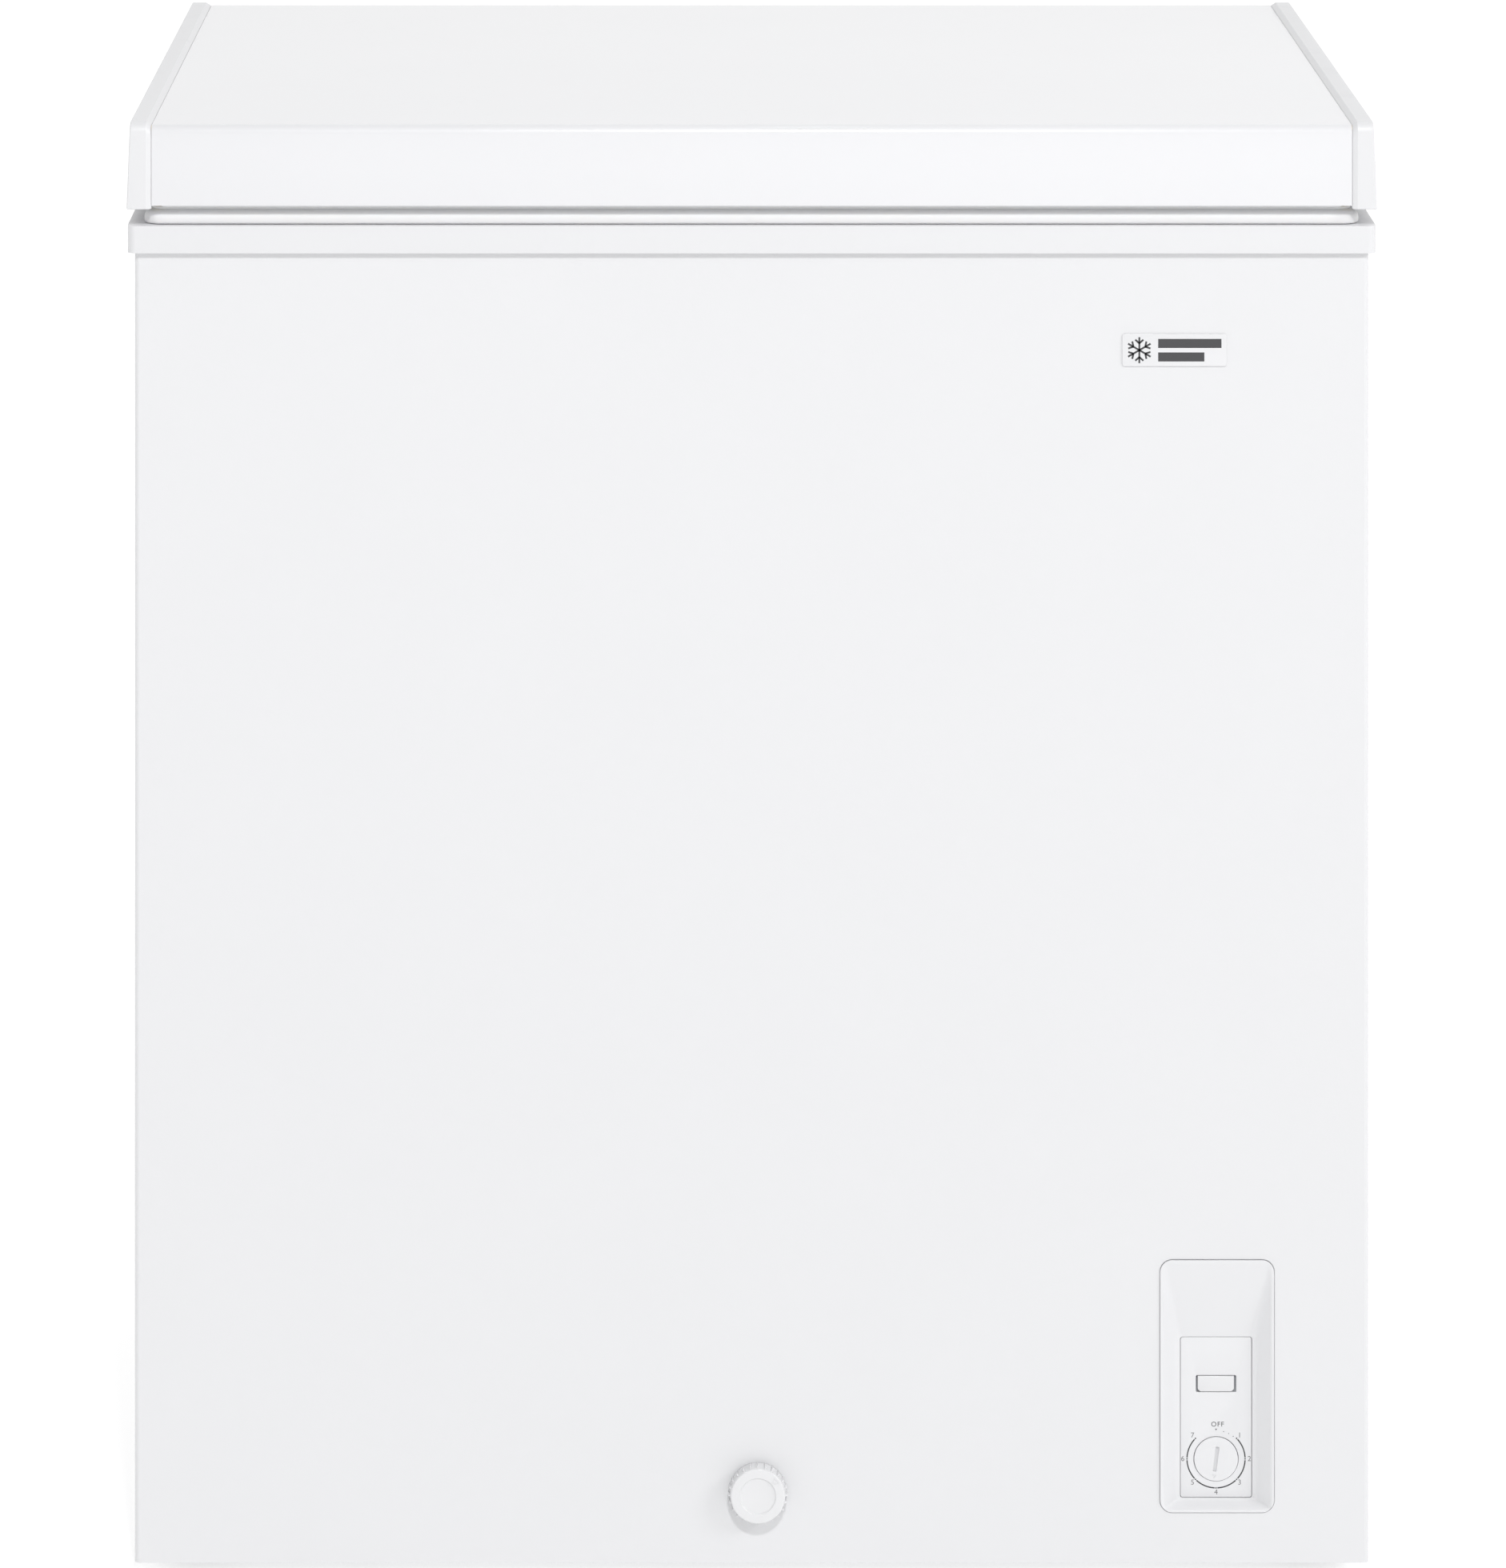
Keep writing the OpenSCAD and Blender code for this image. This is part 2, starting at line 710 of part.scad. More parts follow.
module grille_screws() {
  color("silver") for (x = cover_x) for (z = cover_z)
    difference() {
      union() {
        cyl_y(x, z, cab_back + cover_t, cab_back + cover_t + head_h, head_r);
        cyl_y(x, z, in_back - 6, cab_back + 2, screw_r);
      }
      box(x - slot_l / 2, x + slot_l / 2, cab_back + 2.8, cab_back + 4, z - slot_w / 2, z + slot_w / 2);
    }
}

module cord_gland() {
  color("#202020") difference() {
    union() {
      cyl_y(gland_x, gland_z, cab_back + cover_t, cab_back + 9, gland_r + 2);
      cyl_y(gland_x, gland_z, cab_back - 8, cab_back + 2, gland_r);
    }
    cyl_y(gland_x, gland_z, cab_back - 9, cab_back + 10, 3.6);
  }
}

// ---- drain ----
module drain_funnel() {
  color("white") difference() {
    union() {
      cyl_z(drain_x, well_y, drain_z + 11, lin_floor, funnel_r);
      cyl_z(drain_x, well_y, lin_floor, lin_floor + funnel_rim_t, funnel_rim_r);
    }
    cyl_z(drain_x, well_y, drain_z + 14, lin_floor + 3, funnel_r - 2);
    cyl_z(drain_x, well_y, drain_z + 8, lin_floor, outlet_r);
  }
}

module drain_tube() {
  color("white") difference() {
    tube([[drain_x, well_y, drain_z + 11], [drain_x, well_y, drain_z],
          [drain_x, in_front + sock_len, drain_z]], outlet_r + outlet_t);
    tube([[drain_x, well_y, drain_z + 12], [drain_x, well_y, drain_z],
          [drain_x, in_front + sock_len - past, drain_z]], outlet_r);
  }
}

module drain_socket() {
  color("white") difference() {
    union() {
      cyl_y(drain_x, drain_z, in_front, in_front + sock_flange_t, sock_flange_r);
      cyl_y(drain_x, drain_z, cab_front, in_front + sock_len, spout_r + sock_wall);
    }
    cyl_y(drain_x, drain_z, cab_front - past, in_front + sock_len - 2, spout_r + run_fit);
    cyl_y(drain_x, drain_z, cab_front, in_front + sock_len + 2, outlet_r);
  }
}

module drain_spout() {
  color("white") difference() {
    cyl_y(drain_x, drain_z, cap_face + 4, in_front + 20, spout_r);
    cyl_y(drain_x, drain_z, cap_face + 3, in_front + 21, spout_r - 3);
  }
}

// knurling and face recess of the cap
knurl_n = 24;
knurl_w = 1.2;
cap_recess_r = 10.7;

module drain_cap() {
  color("white") difference() {
    union() {
      cyl_y(drain_x, drain_z, cap_face, cab_front - slip, drain_cap_r - 1.3);
      cyl_y(drain_x, drain_z, cap_face + 1.2, cab_front - slip - 0.8, drain_cap_r - 0.6);
      for (i = [0:knurl_n - 1]) translate([drain_x, cap_face + 1.2, drain_z])
        rotate([0, i * 360 / knurl_n, 0])
          translate([-knurl_w / 2, 0, drain_cap_r - 2]) cube([knurl_w, 7, 2]);
    }
    cyl_y(drain_x, drain_z, cap_face - past, cap_face + 0.8, cap_recess_r);
    cyl_y(drain_x, drain_z, cap_face + 4 - slip, cab_front, spout_r + run_fit);
  }
}

module drain_plug() {
  z = lin_floor + funnel_rim_t + slip;
  color("gray") union() {
    cyl_z(drain_x, well_y, z, z + 4, 15);
    cyl_z(drain_x, well_y, drain_z + 16, z + 1, funnel_r - 2 - run_fit);
    difference() {
      along_y(well_y - 2, well_y + 2) rr(drain_x - 8, drain_x + 8, z + 3, z + 19, 7);
      cyl_y(drain_x, z + 11, well_y - 3, well_y + 3, 4);
    }
  }
}

// ---- hinges ----
// height of the bracket's screwed wings, and of the slot the cam works in
wing_h = 76;
cam_h = 26;

module bracket(x) {
  w = chan_w / 2;
  color("silver") difference() {
    union() {
      difference() {
        box(x - w - chan_t, x + w + chan_t, cab_back, half_y, chan_bot, piv_z);
        box(x - w, x + w, cab_back - 1, half_y - chan_t, chan_bot + chan_t, piv_z + 10);
        box(x - w, x + w, cab_back - past, half_y + past, piv_z - cam_h, piv_z + 10);
        box(x - w - 5, x + w + 5, cab_back - past, piv_y - ear_r, piv_z - cam_h, piv_z + 10);
        box(x - w - 5, x + w + 5, piv_y + ear_r, half_y + 1, piv_z - 10, piv_z + 10);
      }
      for (s = [0, 1]) cyl_x(piv_y, piv_z, x - w - chan_t + s * (chan_w + chan_t),
                             x - w + s * (chan_w + chan_t), ear_r);
      box(x - leaf_x, x - w, cab_back, cab_back + chan_t, chan_bot, chan_bot + wing_h);
      box(x + w, x + leaf_x, cab_back, cab_back + chan_t, chan_bot, chan_bot + wing_h);
    }
    cyl_x(piv_y, piv_z, x - w - 4, x + w + 4, pin_r);
    for (dx = bracket_dx) for (dz = bracket_dz)
      cyl_y(x + dx, chan_bot + dz, cab_back - past, cab_back + 4, screw_r);
  }
}

module hinge_bracket_left() {
  bracket(-hinge_x);
}

module hinge_bracket_right() {
  bracket(hinge_x);
}

module pin(x) {
  w = chan_w / 2 + chan_t;
  color("gray") union() {
    cyl_x(piv_y, piv_z, x - w - 1, x + w + 1, pin_r);
    cyl_x(piv_y, piv_z, x - w - 2.2, x - w, pin_r + 1.4);
    cyl_x(piv_y, piv_z, x + w, x + w + 1.6, pin_r + 1);
  }
}

module hinge_pin_left() {
  pin(-hinge_x);
}

module hinge_pin_right() {
  pin(hinge_x);
}

module bracket_screws() {
  color("silver") for (s = [-1, 1]) for (dx = bracket_dx) for (dz = bracket_dz)
    difference() {
      union() {
        cyl_y(s * hinge_x + dx, chan_bot + dz, cab_back + chan_t, cab_back + 4.2, head_r);
        cyl_y(s * hinge_x + dx, chan_bot + dz, in_back, cab_back + 3, screw_r);
      }
      box(s * hinge_x + dx - slot_l / 2, s * hinge_x + dx + slot_l / 2, cab_back + 3.4, cab_back + 5,
          chan_bot + dz - slot_w / 2, chan_bot + dz + slot_w / 2);
    }
}

// counterbalance spring, drawn as closely wound rings
coil_wire_r = 1.5;

module spring(x) {
  z0 = chan_bot + chan_t;
  z1 = plun_top - plun_h;
  n = 10;
  p = (z1 - z0 - 2 * coil_wire_r) / n;
  color("gray") translate([x, spring_y, z0]) rotate_extrude() union() {
    for (i = [0:n]) translate([spring_r - coil_wire_r, coil_wire_r + i * p])
      circle(coil_wire_r, $fn = 24);
    translate([spring_r - 2, 1]) square([1, z1 - z0 - 2]);
  }
}

module hinge_spring_left() {
  spring(-hinge_x);
}

module hinge_spring_right() {
  spring(hinge_x);
}

module plunger(x) {
  w = chan_w / 2 - slip;
  color("#404040") union() {
    box(x - w, x + w, cab_back + 2 + slip, half_y - chan_t - slip,
        plun_top - plun_h, plun_top);
    cyl_z(x, spring_y, plun_top - plun_h - 8, plun_top - plun_h + 1, spring_r - 3.6);
  }
}

module plunger_left() {
  plunger(-hinge_x);
}

module plunger_right() {
  plunger(hinge_x);
}

// cam face that lowers the flat plunger evenly as the lid shuts
function cam_point(t) = let (h = cam_drop - cam_rate * t * PI / 180)
  [-cam_rate * cos(t) + h * sin(t), -cam_rate * sin(t) - h * cos(t)];

module arm(x) {
  color("silver") difference() {
    union() {
      for (s = [-1, 1]) along_x(x + s * (cheek_x + cheek_t / 2) - cheek_t / 2,
                                x + s * (cheek_x + cheek_t / 2) + cheek_t / 2)
        translate([piv_y, piv_z]) union() {
          circle(ear_r);
          polygon(concat([for (t = [0:5:swing]) cam_point(t)],
            [[ear_r, -1], [ear_r - 0.5, 2], [lid_back - piv_y + 2, cap_bot - piv_z + 8],
             [lid_back - piv_y + 1, cap_bot - piv_z + 8], [lid_back - piv_y + 1, 2],
             [-cam_rate, -3]]));
        }
      box(x - 8, x + 8, lid_back, lid_back + 2, cap_bot + 4.5, cap_bot + 12);
      box(x - leaf_x, x + leaf_x, lid_back, lid_back + 2, cap_bot + 10, cap_bot + 40);
    }
    cyl_x(piv_y, piv_z, x - 20, x + 20, pin_r + run_fit);
    for (dx = arm_dx) for (dz = arm_dz)
      cyl_y(x + dx, cap_bot + dz, lid_back - past, lid_back + 4, screw_r);
  }
}

module hinge_arm_left() {
  arm(-hinge_x);
}

module hinge_arm_right() {
  arm(hinge_x);
}

module arm_screws() {
  color("silver") for (s = [-1, 1]) for (dx = arm_dx) for (dz = arm_dz)
    difference() {
      union() {
        cyl_y(s * hinge_x + dx, cap_bot + dz, lid_back + 2, lid_back + 2 + head_h, head_r);
        cyl_y(s * hinge_x + dx, cap_bot + dz, lid_back, lid_back + 3, screw_r);
      }
      box(s * hinge_x + dx - slot_l / 2, s * hinge_x + dx + slot_l / 2, lid_back + 3.3, lid_back + 5,
          cap_bot + dz - slot_w / 2, cap_bot + dz + slot_w / 2);
    }
}

// ---- lid ----
// section of the lid in Y and Z, rounded along the top edges
module lid_section(f, b, z0, z1, r) {
  translate([f, z0]) square([b - f, z1 - r - z0]);
  translate([f + r, z0]) square([b - f - 2 * r, z1 - z0]);
  for (y = [f + r, b - r]) translate([y, z1 - r]) circle(r);
}

// width of the sheet's turned-in lower edge, and draft of the end caps
lid_lip = 9;
cap_draft = 2.2;

module lid_skin() {
  t = 1;
  color("white") along_x(-skin_x, skin_x) union() {
    difference() {
      lid_section(lid_front, lid_back, skin_bot, lid_top, fold_r);
      lid_section(lid_front + t, lid_back - t, skin_bot - 1, lid_top - t, fold_r - t);
    }
    translate([lid_front + 0.5, skin_bot]) square([lid_lip, t]);
    translate([lid_back - lid_lip - 0.5, skin_bot]) square([lid_lip, t]);
  }
}

module end_cap() {
  f = lid_front - 1;
  b = lid_back;
  top = lid_top + cap_proud;
  color("white") difference() {
    along_x(skin_x, cap_x) lid_section(f, b, cap_bot, top, fold_r + 1);
    along_x(skin_x - 1, cap_x - cap_t)
      lid_section(f + cap_t, b - cap_t, cap_bot + cap_t, top - cap_t, fold_r - 1);
    translate([cap_x, 0, cap_bot]) rotate([0, -cap_draft, 0]) translate([0, f - 10, -10])
      cube([20, lid_d + 30, 90]);
  }
}

module lid_end_cap_right() {
  end_cap();
}

module lid_end_cap_left() {
  mirror([1, 0, 0]) end_cap();
}

module lid_foam() {
  f = lid_front - 1 + cap_t;
  b = lid_back - cap_t;
  color("khaki") union() {
    along_x(-skin_x, skin_x) union() {
      lid_section(lid_front + 1, lid_back - 1, skin_bot + 1, lid_top - 1, fold_r - 1);
      translate([lid_front + lid_lip + 0.5, skin_bot]) square([lid_d - 2 * lid_lip - 1, 2]);
    }
    for (x = [skin_x, -cap_x + cap_t + 2]) along_x(x, x + cap_w - cap_t - 2)
      lid_section(f, b, cap_bot + cap_t, lid_top + cap_proud - cap_t, fold_r - 1);
    slab(-plug_x + panel_t, plug_x - panel_t, plug_front + panel_t, plug_back - panel_t,
         plug_bot + panel_t, skin_bot + 1, lin_r);
  }
}

module lid_inner_panel() {
  color("white") difference() {
    union() {
      slab(-skin_x, skin_x, lid_front + 4, lid_back - 4, cap_bot, skin_bot, 3);
      slab(-plug_x, plug_x, plug_front, plug_back, plug_bot, skin_bot, lin_r + panel_t);
    }
    slab(-plug_x + panel_t, plug_x - panel_t, plug_front + panel_t, plug_back - panel_t,
         plug_bot + panel_t, skin_bot + 1, lin_r);
  }
}

module gasket_ring(grow, z0, z1, w) {
  translate([0, 0, z0]) linear_extrude(z1 - z0) difference() {
    rr(-gas_x + grow, gas_x - grow, gas_front + grow, gas_back - grow, 10 - grow);
    rr(-gas_x + grow + w, gas_x - grow - w, gas_front + grow + w, gas_back - grow - w, 3);
  }
}

module lid_gasket() {
  color("whitesmoke") difference() {
    union() {
      gasket_ring(0, frame_top + slip, gas_mid, gasket_w);
      gasket_ring(3, gas_mid - 1, cap_bot, gasket_w - 6);
    }
    gasket_ring(1.6, frame_top + slip + 1.6, gas_mid - 1.6, gasket_w - 3.2);
  }
}

// ---- basket ----
bas_x = lin_x - basket_w / 2 - 11;
bas_top = plug_bot - 8;
bas_d = open_back - open_front - 20;
wire_r = 1.6;
cross_n = 10;
long_n = 7;
bend_r = 12;
hook_in = 30;
hook_wire_r = 2;
// reach of the hooks over the ledge, and their height above it
hook_out = 13;
hook_up = 2.3;
hook_r = 2.5;

// wire bent down, across and up again, in X and Z
module u_wire(w, h, r, b) {
  for (s = [-1, 1]) translate([s * w / 2, 0, -h + b]) cylinder(r = r, h = h - b, $fn = 24);
  for (s = [0, 1]) translate([(s * 2 - 1) * (w / 2 - b), 0, -h + b]) rotate([90, 0, 0])
    rotate([0, 0, s > 0 ? 270 : 180]) rotate_extrude(angle = 90)
      translate([b, 0]) circle(r, $fn = 24);
  translate([-w / 2 + b, 0, -h]) rotate([0, 90, 0])
    cylinder(r = r, h = w - 2 * b, $fn = 24);
}

module basket_wire() {
  w = basket_w - 2 * hook_r;
  y0 = open_front + 6;
  y1 = open_back - 6;
  color("white") translate([bas_x, 0, 0]) union() {
    translate([0, mid_y, bas_top]) {
      for (i = [0:cross_n]) translate([0, (i - cross_n / 2) * (bas_d - bend_r) / cross_n, 0])
        u_wire(w, basket_h, wire_r, bend_r);
      for (i = [0:long_n])
        translate([(i - long_n / 2) * (w - 2 * bend_r) / long_n, 0, 2 * wire_r - 0.4])
          rotate([0, 0, 90]) u_wire(bas_d, basket_h, wire_r, bend_r);
    }
    // rim and middle band
    for (z = [bas_top, bas_top - basket_h / 2]) {
      r = z == bas_top ? hook_r : wire_r;
      tube([[-w / 2, y0 + 4, z], [w / 2, y0 + 4, z], [w / 2, y1 - 4, z],
            [-w / 2, y1 - 4, z], [-w / 2, y0 + 4, z]], r);
      translate([-w / 2, y0 + 4, z]) sphere(r = r, $fn = 32);
    }
    // hooks that run on the ledge of the frame
    h = ledge_z + hook_up;
    xs = [-w / 2 + hook_in, w / 2 - hook_in];
    for (x = xs) {
      tube([[x, y0 + 4, bas_top], [x, y0, bas_top + 4], [x, y0, h], [x, y0 - hook_out, h]],
           hook_wire_r);
      tube([[x, y1 - 4, bas_top], [x, y1, bas_top + 4], [x, y1, h], [x, y1 + hook_out, h]],
           hook_wire_r);
    }
    for (y = [y0 - hook_out, y1 + hook_out]) {
      rod([xs[0], y, h], [xs[1], y, h], hook_wire_r);
      for (x = xs) translate([x, y, h]) sphere(r = hook_wire_r, $fn = 32);
    }
  }
}

// plastic grips on the rim at each side
grip_l = 92;
grip_r = 5;

module basket_grips() {
  w = basket_w - 2 * hook_r;
  g = grip_l / 2;
  color("dimgray") for (s = [-1, 1]) difference() {
    cyl_y(bas_x + s * w / 2, bas_top, mid_y - g, mid_y + g, grip_r);
    cyl_y(bas_x + s * w / 2, bas_top, mid_y - g - past, mid_y + g + past, hook_r);
    box(bas_x + s * w / 2 - 2.6, bas_x + s * w / 2 + 2.6, mid_y - g - past, mid_y + g + past,
        bas_top - 7, bas_top);
  }
}

outer_wrap();
back_panel();
base_pan();
feet();
cabinet_foam();
inner_liner();
bay_lining();
top_frame();
evaporator_coil();
condenser_coil();
compressor_plate();
compressor_shell();
compressor_grommets();
compressor_bolts();
relay_cover();
discharge_tube();
suction_tube();
process_tube();
filter_drier();
capillary_tube();
thermostat_body();
indicator_lamp();
lamp_lens();
control_bezel();
control_plate();
thermostat_knob();
thermostat_shaft();
cord_gland();
rear_grille();
grille_screws();
drain_funnel();
drain_tube();
drain_socket();
drain_spout();
drain_cap();
drain_plug();
hinge_bracket_left();
hinge_bracket_right();
hinge_pin_left();
hinge_pin_right();
bracket_screws();
hinge_spring_left();
hinge_spring_right();
plunger_left();
plunger_right();
hinge_arm_left();
hinge_arm_right();
arm_screws();
nameplate();
lid_skin();
lid_end_cap_left();
lid_end_cap_right();
lid_foam();
lid_inner_panel();
lid_gasket();
basket_wire();
basket_grips();
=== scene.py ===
"""Chest freezer with a counterbalanced lid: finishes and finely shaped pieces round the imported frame."""
import math
from contextlib import contextmanager

import bmesh
import bpy
from mathutils import Matrix, Vector


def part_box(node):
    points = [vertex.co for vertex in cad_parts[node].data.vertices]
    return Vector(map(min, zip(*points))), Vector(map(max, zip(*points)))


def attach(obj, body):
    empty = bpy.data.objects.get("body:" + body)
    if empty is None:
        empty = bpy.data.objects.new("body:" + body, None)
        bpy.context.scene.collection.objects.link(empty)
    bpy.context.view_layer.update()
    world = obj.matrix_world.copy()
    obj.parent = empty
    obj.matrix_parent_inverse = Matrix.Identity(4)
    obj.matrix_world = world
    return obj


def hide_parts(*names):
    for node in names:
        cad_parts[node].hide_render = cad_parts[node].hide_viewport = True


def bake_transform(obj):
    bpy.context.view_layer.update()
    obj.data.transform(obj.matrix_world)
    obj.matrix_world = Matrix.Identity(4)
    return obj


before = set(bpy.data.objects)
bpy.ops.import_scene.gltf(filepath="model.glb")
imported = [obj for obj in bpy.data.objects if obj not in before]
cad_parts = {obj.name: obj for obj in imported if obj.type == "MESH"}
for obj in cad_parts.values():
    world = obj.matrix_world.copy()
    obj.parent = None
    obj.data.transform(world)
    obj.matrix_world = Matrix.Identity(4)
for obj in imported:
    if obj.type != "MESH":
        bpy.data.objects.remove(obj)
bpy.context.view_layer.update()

MM = 0.001
scene = bpy.context.scene


# ---- shader maths ----

class Wire:
    """A shader socket. Sums and products of wires add their Math nodes."""

    def __init__(self, finish, socket):
        self.finish = finish
        self.socket = socket

    def maths(self, operation, first, second):
        return self.finish.node("ShaderNodeMath", {"operation": operation}, {0: first, 1: second})

    def __add__(self, other):
        return self.maths("ADD", self, other)

    def __radd__(self, other):
        return self.maths("ADD", other, self)

    def __sub__(self, other):
        return self.maths("SUBTRACT", self, other)

    def __rsub__(self, other):
        return self.maths("SUBTRACT", other, self)

    def __mul__(self, other):
        return self.maths("MULTIPLY", self, other)

    def __rmul__(self, other):
        return self.maths("MULTIPLY", other, self)

    def __truediv__(self, other):
        return self.maths("DIVIDE", self, other)

    def __pow__(self, other):
        return self.maths("POWER", self, other)


class Finish:
    """A procedural material with one Principled shader, read on Object coordinates."""

    def __init__(self, name, **constants):
        self.material = bpy.data.materials.new(name)
        self.material.use_nodes = True
        self.tree = self.material.node_tree
        self.shader = self.tree.nodes["Principled BSDF"]
        for socket, value in constants.items():
            self.shader.inputs[socket.replace("_", " ")].default_value = value
        self.place = self.node("ShaderNodeTexCoord", out="Object")

    def node(self, kind, settings=(), values=(), out=0):
        """Adds a node, its settings first, then the values or wires of its sockets."""
        made = self.tree.nodes.new(kind)
        for key, value in dict(settings).items():
            if key == "stops":
                self.set_stops(made.color_ramp, value)
            else:
                setattr(made, key, value)
        for key, value in dict(values).items():
            if isinstance(value, Wire):
                self.tree.links.new(value.socket, made.inputs[key])
            else:
                made.inputs[key].default_value = value
        return Wire(self, made.outputs[out])

    @staticmethod
    def set_stops(ramp, stops):
        while len(ramp.elements) < len(stops):
            ramp.elements.new(0.5)
        for element, (position, level) in zip(ramp.elements, stops):
            element.position = position
            element.color = (level, level, level, 1)

    def stretched(self, factors):
        """Object coordinates with each axis multiplied by its factor."""
        return self.node("ShaderNodeMapping", {}, {"Vector": self.place, "Scale": factors})

    def noise(self, scale, detail=2.0, rough=0.5, at=None):
        values = {"Vector": at or self.place, "Scale": scale, "Detail": detail, "Roughness": rough}
        return self.node("ShaderNodeTexNoise", {}, values)

    def cells(self, scale, feature="F1", out="Distance", at=None):
        values = {"Vector": at or self.place, "Scale": scale}
        return self.node("ShaderNodeTexVoronoi", {"feature": feature}, values, out)

    def ramp(self, wire, *stops):
        return self.node("ShaderNodeValToRGB", {"stops": stops}, {"Fac": wire})

    def mix(self, mask, low, high):
        """Colour low where the mask is 0 and high where it is 1."""
        values = {0: mask, 6: low, 7: high}
        return self.node("ShaderNodeMix", {"data_type": "RGBA"}, values, out=2)

    def feed(self, socket, wire):
        self.tree.links.new(wire.socket, self.shader.inputs[socket])

    def relief(self, height, depth, strength=1.0):
        """Bumps the surface by height times depth metres."""
        values = {"Height": height, "Distance": depth, "Strength": strength}
        self.feed("Normal", self.node("ShaderNodeBump", {}, values))


def grey(level, warmth=0.0):
    return (level + warmth, level, level - warmth, 1)


# ---- finishes ----

def painted_sheet(name, tone, gloss):
    """Sprayed white coat: a little orange peel, slow ripples of the sheet, faint scuffs."""
    f = Finish(name, IOR=1.5, Coat_Weight=0.45, Coat_Roughness=0.09)
    slow = f.noise(2.4, 2)
    cloud = f.noise(14, 3)
    scuff = f.ramp(f.noise(60, 6, 0.7), (0.62, 0.0), (0.74, 1.0))
    low = tuple(c * 0.985 for c in tone) + (1,)
    f.feed("Base Color", f.mix(cloud, low, tone + (1,)))
    f.feed("Roughness", gloss + cloud * 0.05 + scuff * 0.09)
    peel = f.noise(620, 2, 0.4)
    f.relief(peel + slow * 30.0, 0.000035, 0.55)
    return f.material


def moulded_white(name, tone, gloss=0.34):
    """Injection moulded plastic: fine spark grain, soft flow marks and handling dust."""
    f = Finish(name, IOR=1.52)
    grain = f.noise(1900, 2, 0.6)
    flow = f.noise(9, 3, 0.5, at=f.stretched((1, 1, 3)))
    dust = f.ramp(f.noise(45, 5, 0.65), (0.55, 0.0), (0.8, 1.0))
    low = tuple(c * 0.975 for c in tone) + (1,)
    f.feed("Base Color", f.mix(dust * 0.6 + flow * 0.3, tone + (1,), low))
    f.feed("Roughness", gloss + grain * 0.06 + dust * 0.08)
    f.relief(grain, 0.00002, 0.5)
    return f.material


def soft_vinyl(name, tone):
    """Extruded soft vinyl: die lines, a waxy bloom and slight yellowing."""
    f = Finish(name, IOR=1.46, Subsurface_Weight=0.06)
    f.shader.inputs["Subsurface Radius"].default_value = (0.004, 0.003, 0.002)
    lines = f.noise(520, 1, 0.4, at=f.stretched((0.05, 0.05, 1)))
    bloom = f.noise(30, 4, 0.6)
    aged = (tone[0] * 0.97, tone[1] * 0.955, tone[2] * 0.92, 1)
    f.feed("Base Color", f.mix(bloom * 0.7, tone + (1,), aged))
    f.feed("Roughness", 0.5 + bloom * 0.16)
    f.relief(lines, 0.00008, 0.5)
    return f.material


def stucco_liner(name):
    """Embossed, white coated aluminium sheet: a dense hammered pattern."""
    f = Finish(name, IOR=1.5, Coat_Weight=0.3, Coat_Roughness=0.2)
    dents = f.cells(170, "SMOOTH_F1")
    fine = f.noise(700, 2)
    frost = f.ramp(f.noise(6, 5, 0.6), (0.45, 0.0), (0.75, 1.0))
    f.feed("Base Color", f.mix(frost * 0.5, (0.80, 0.81, 0.825, 1), (0.72, 0.74, 0.765, 1)))
    f.feed("Roughness", 0.3 + frost * 0.15)
    f.relief(dents * 1.0 + fine * 0.08, 0.0016, 0.6)
    return f.material


def spangled_zinc(name, tone):
    """Hot dipped sheet: crystal spangles of differing grey and sheen, with dull streaks."""
    f = Finish(name, Metallic=0.85)
    spangle = f.cells(75, "F1", "Color")
    value = f.node("ShaderNodeSeparateColor", {}, {"Color": spangle}, "Red")
    streak = f.noise(8, 5, 0.6, at=f.stretched((4, 4, 0.6)))
    light = tuple(c * 1.12 for c in tone) + (1,)
    dark = tuple(c * 0.86 for c in tone) + (1,)
    f.feed("Base Color", f.mix(value * 0.65 + streak * 0.35, dark, light))
    f.feed("Roughness", 0.36 + value * 0.2 + streak * 0.08)
    f.relief(value * 0.3 + f.noise(900, 2) * 0.4, 0.00003, 0.4)
    return f.material


def plated_steel(name, tone, stretch=(1, 1, 8)):
    """Zinc plated steel: drawn lines, faint blue and yellow passivation."""
    f = Finish(name, Metallic=1.0)
    drawn = f.noise(1400, 3, 0.6, at=f.stretched(stretch))
    tint = f.noise(38, 3)
    warm = (tone[0] * 1.04, tone[1], tone[2] * 0.9, 1)
    cool = (tone[0] * 0.92, tone[1] * 0.98, tone[2] * 1.04, 1)
    f.feed("Base Color", f.mix(tint, warm, cool))
    f.feed("Roughness", 0.26 + drawn * 0.18)
    f.relief(drawn, 0.00002, 0.5)
    return f.material


def drawn_copper(name):
    """Copper tube with brown oxide blooms and brighter rubbed places."""
    f = Finish(name, Metallic=1.0)
    oxide = f.ramp(f.noise(90, 5, 0.65), (0.35, 0.0), (0.7, 1.0))
    f.feed("Base Color", f.mix(oxide, (0.72, 0.36, 0.22, 1), (0.33, 0.17, 0.11, 1)))
    f.feed("Roughness", 0.24 + oxide * 0.3)
    f.relief(f.noise(1500, 2), 0.00002, 0.4)
    return f.material


def black_enamel(name):
    """Dipped black paint with runs and settled dust."""
    f = Finish(name, Coat_Weight=0.3, Coat_Roughness=0.12)
    dust = f.ramp(f.noise(55, 5, 0.7), (0.5, 0.0), (0.85, 1.0))
    f.feed("Base Color", f.mix(dust, (0.012, 0.012, 0.013, 1), (0.07, 0.068, 0.064, 1)))
    f.feed("Roughness", 0.24 + dust * 0.35)
    f.relief(f.noise(160, 2) + f.noise(14, 2) * 2.0, 0.00012, 0.4)
    return f.material


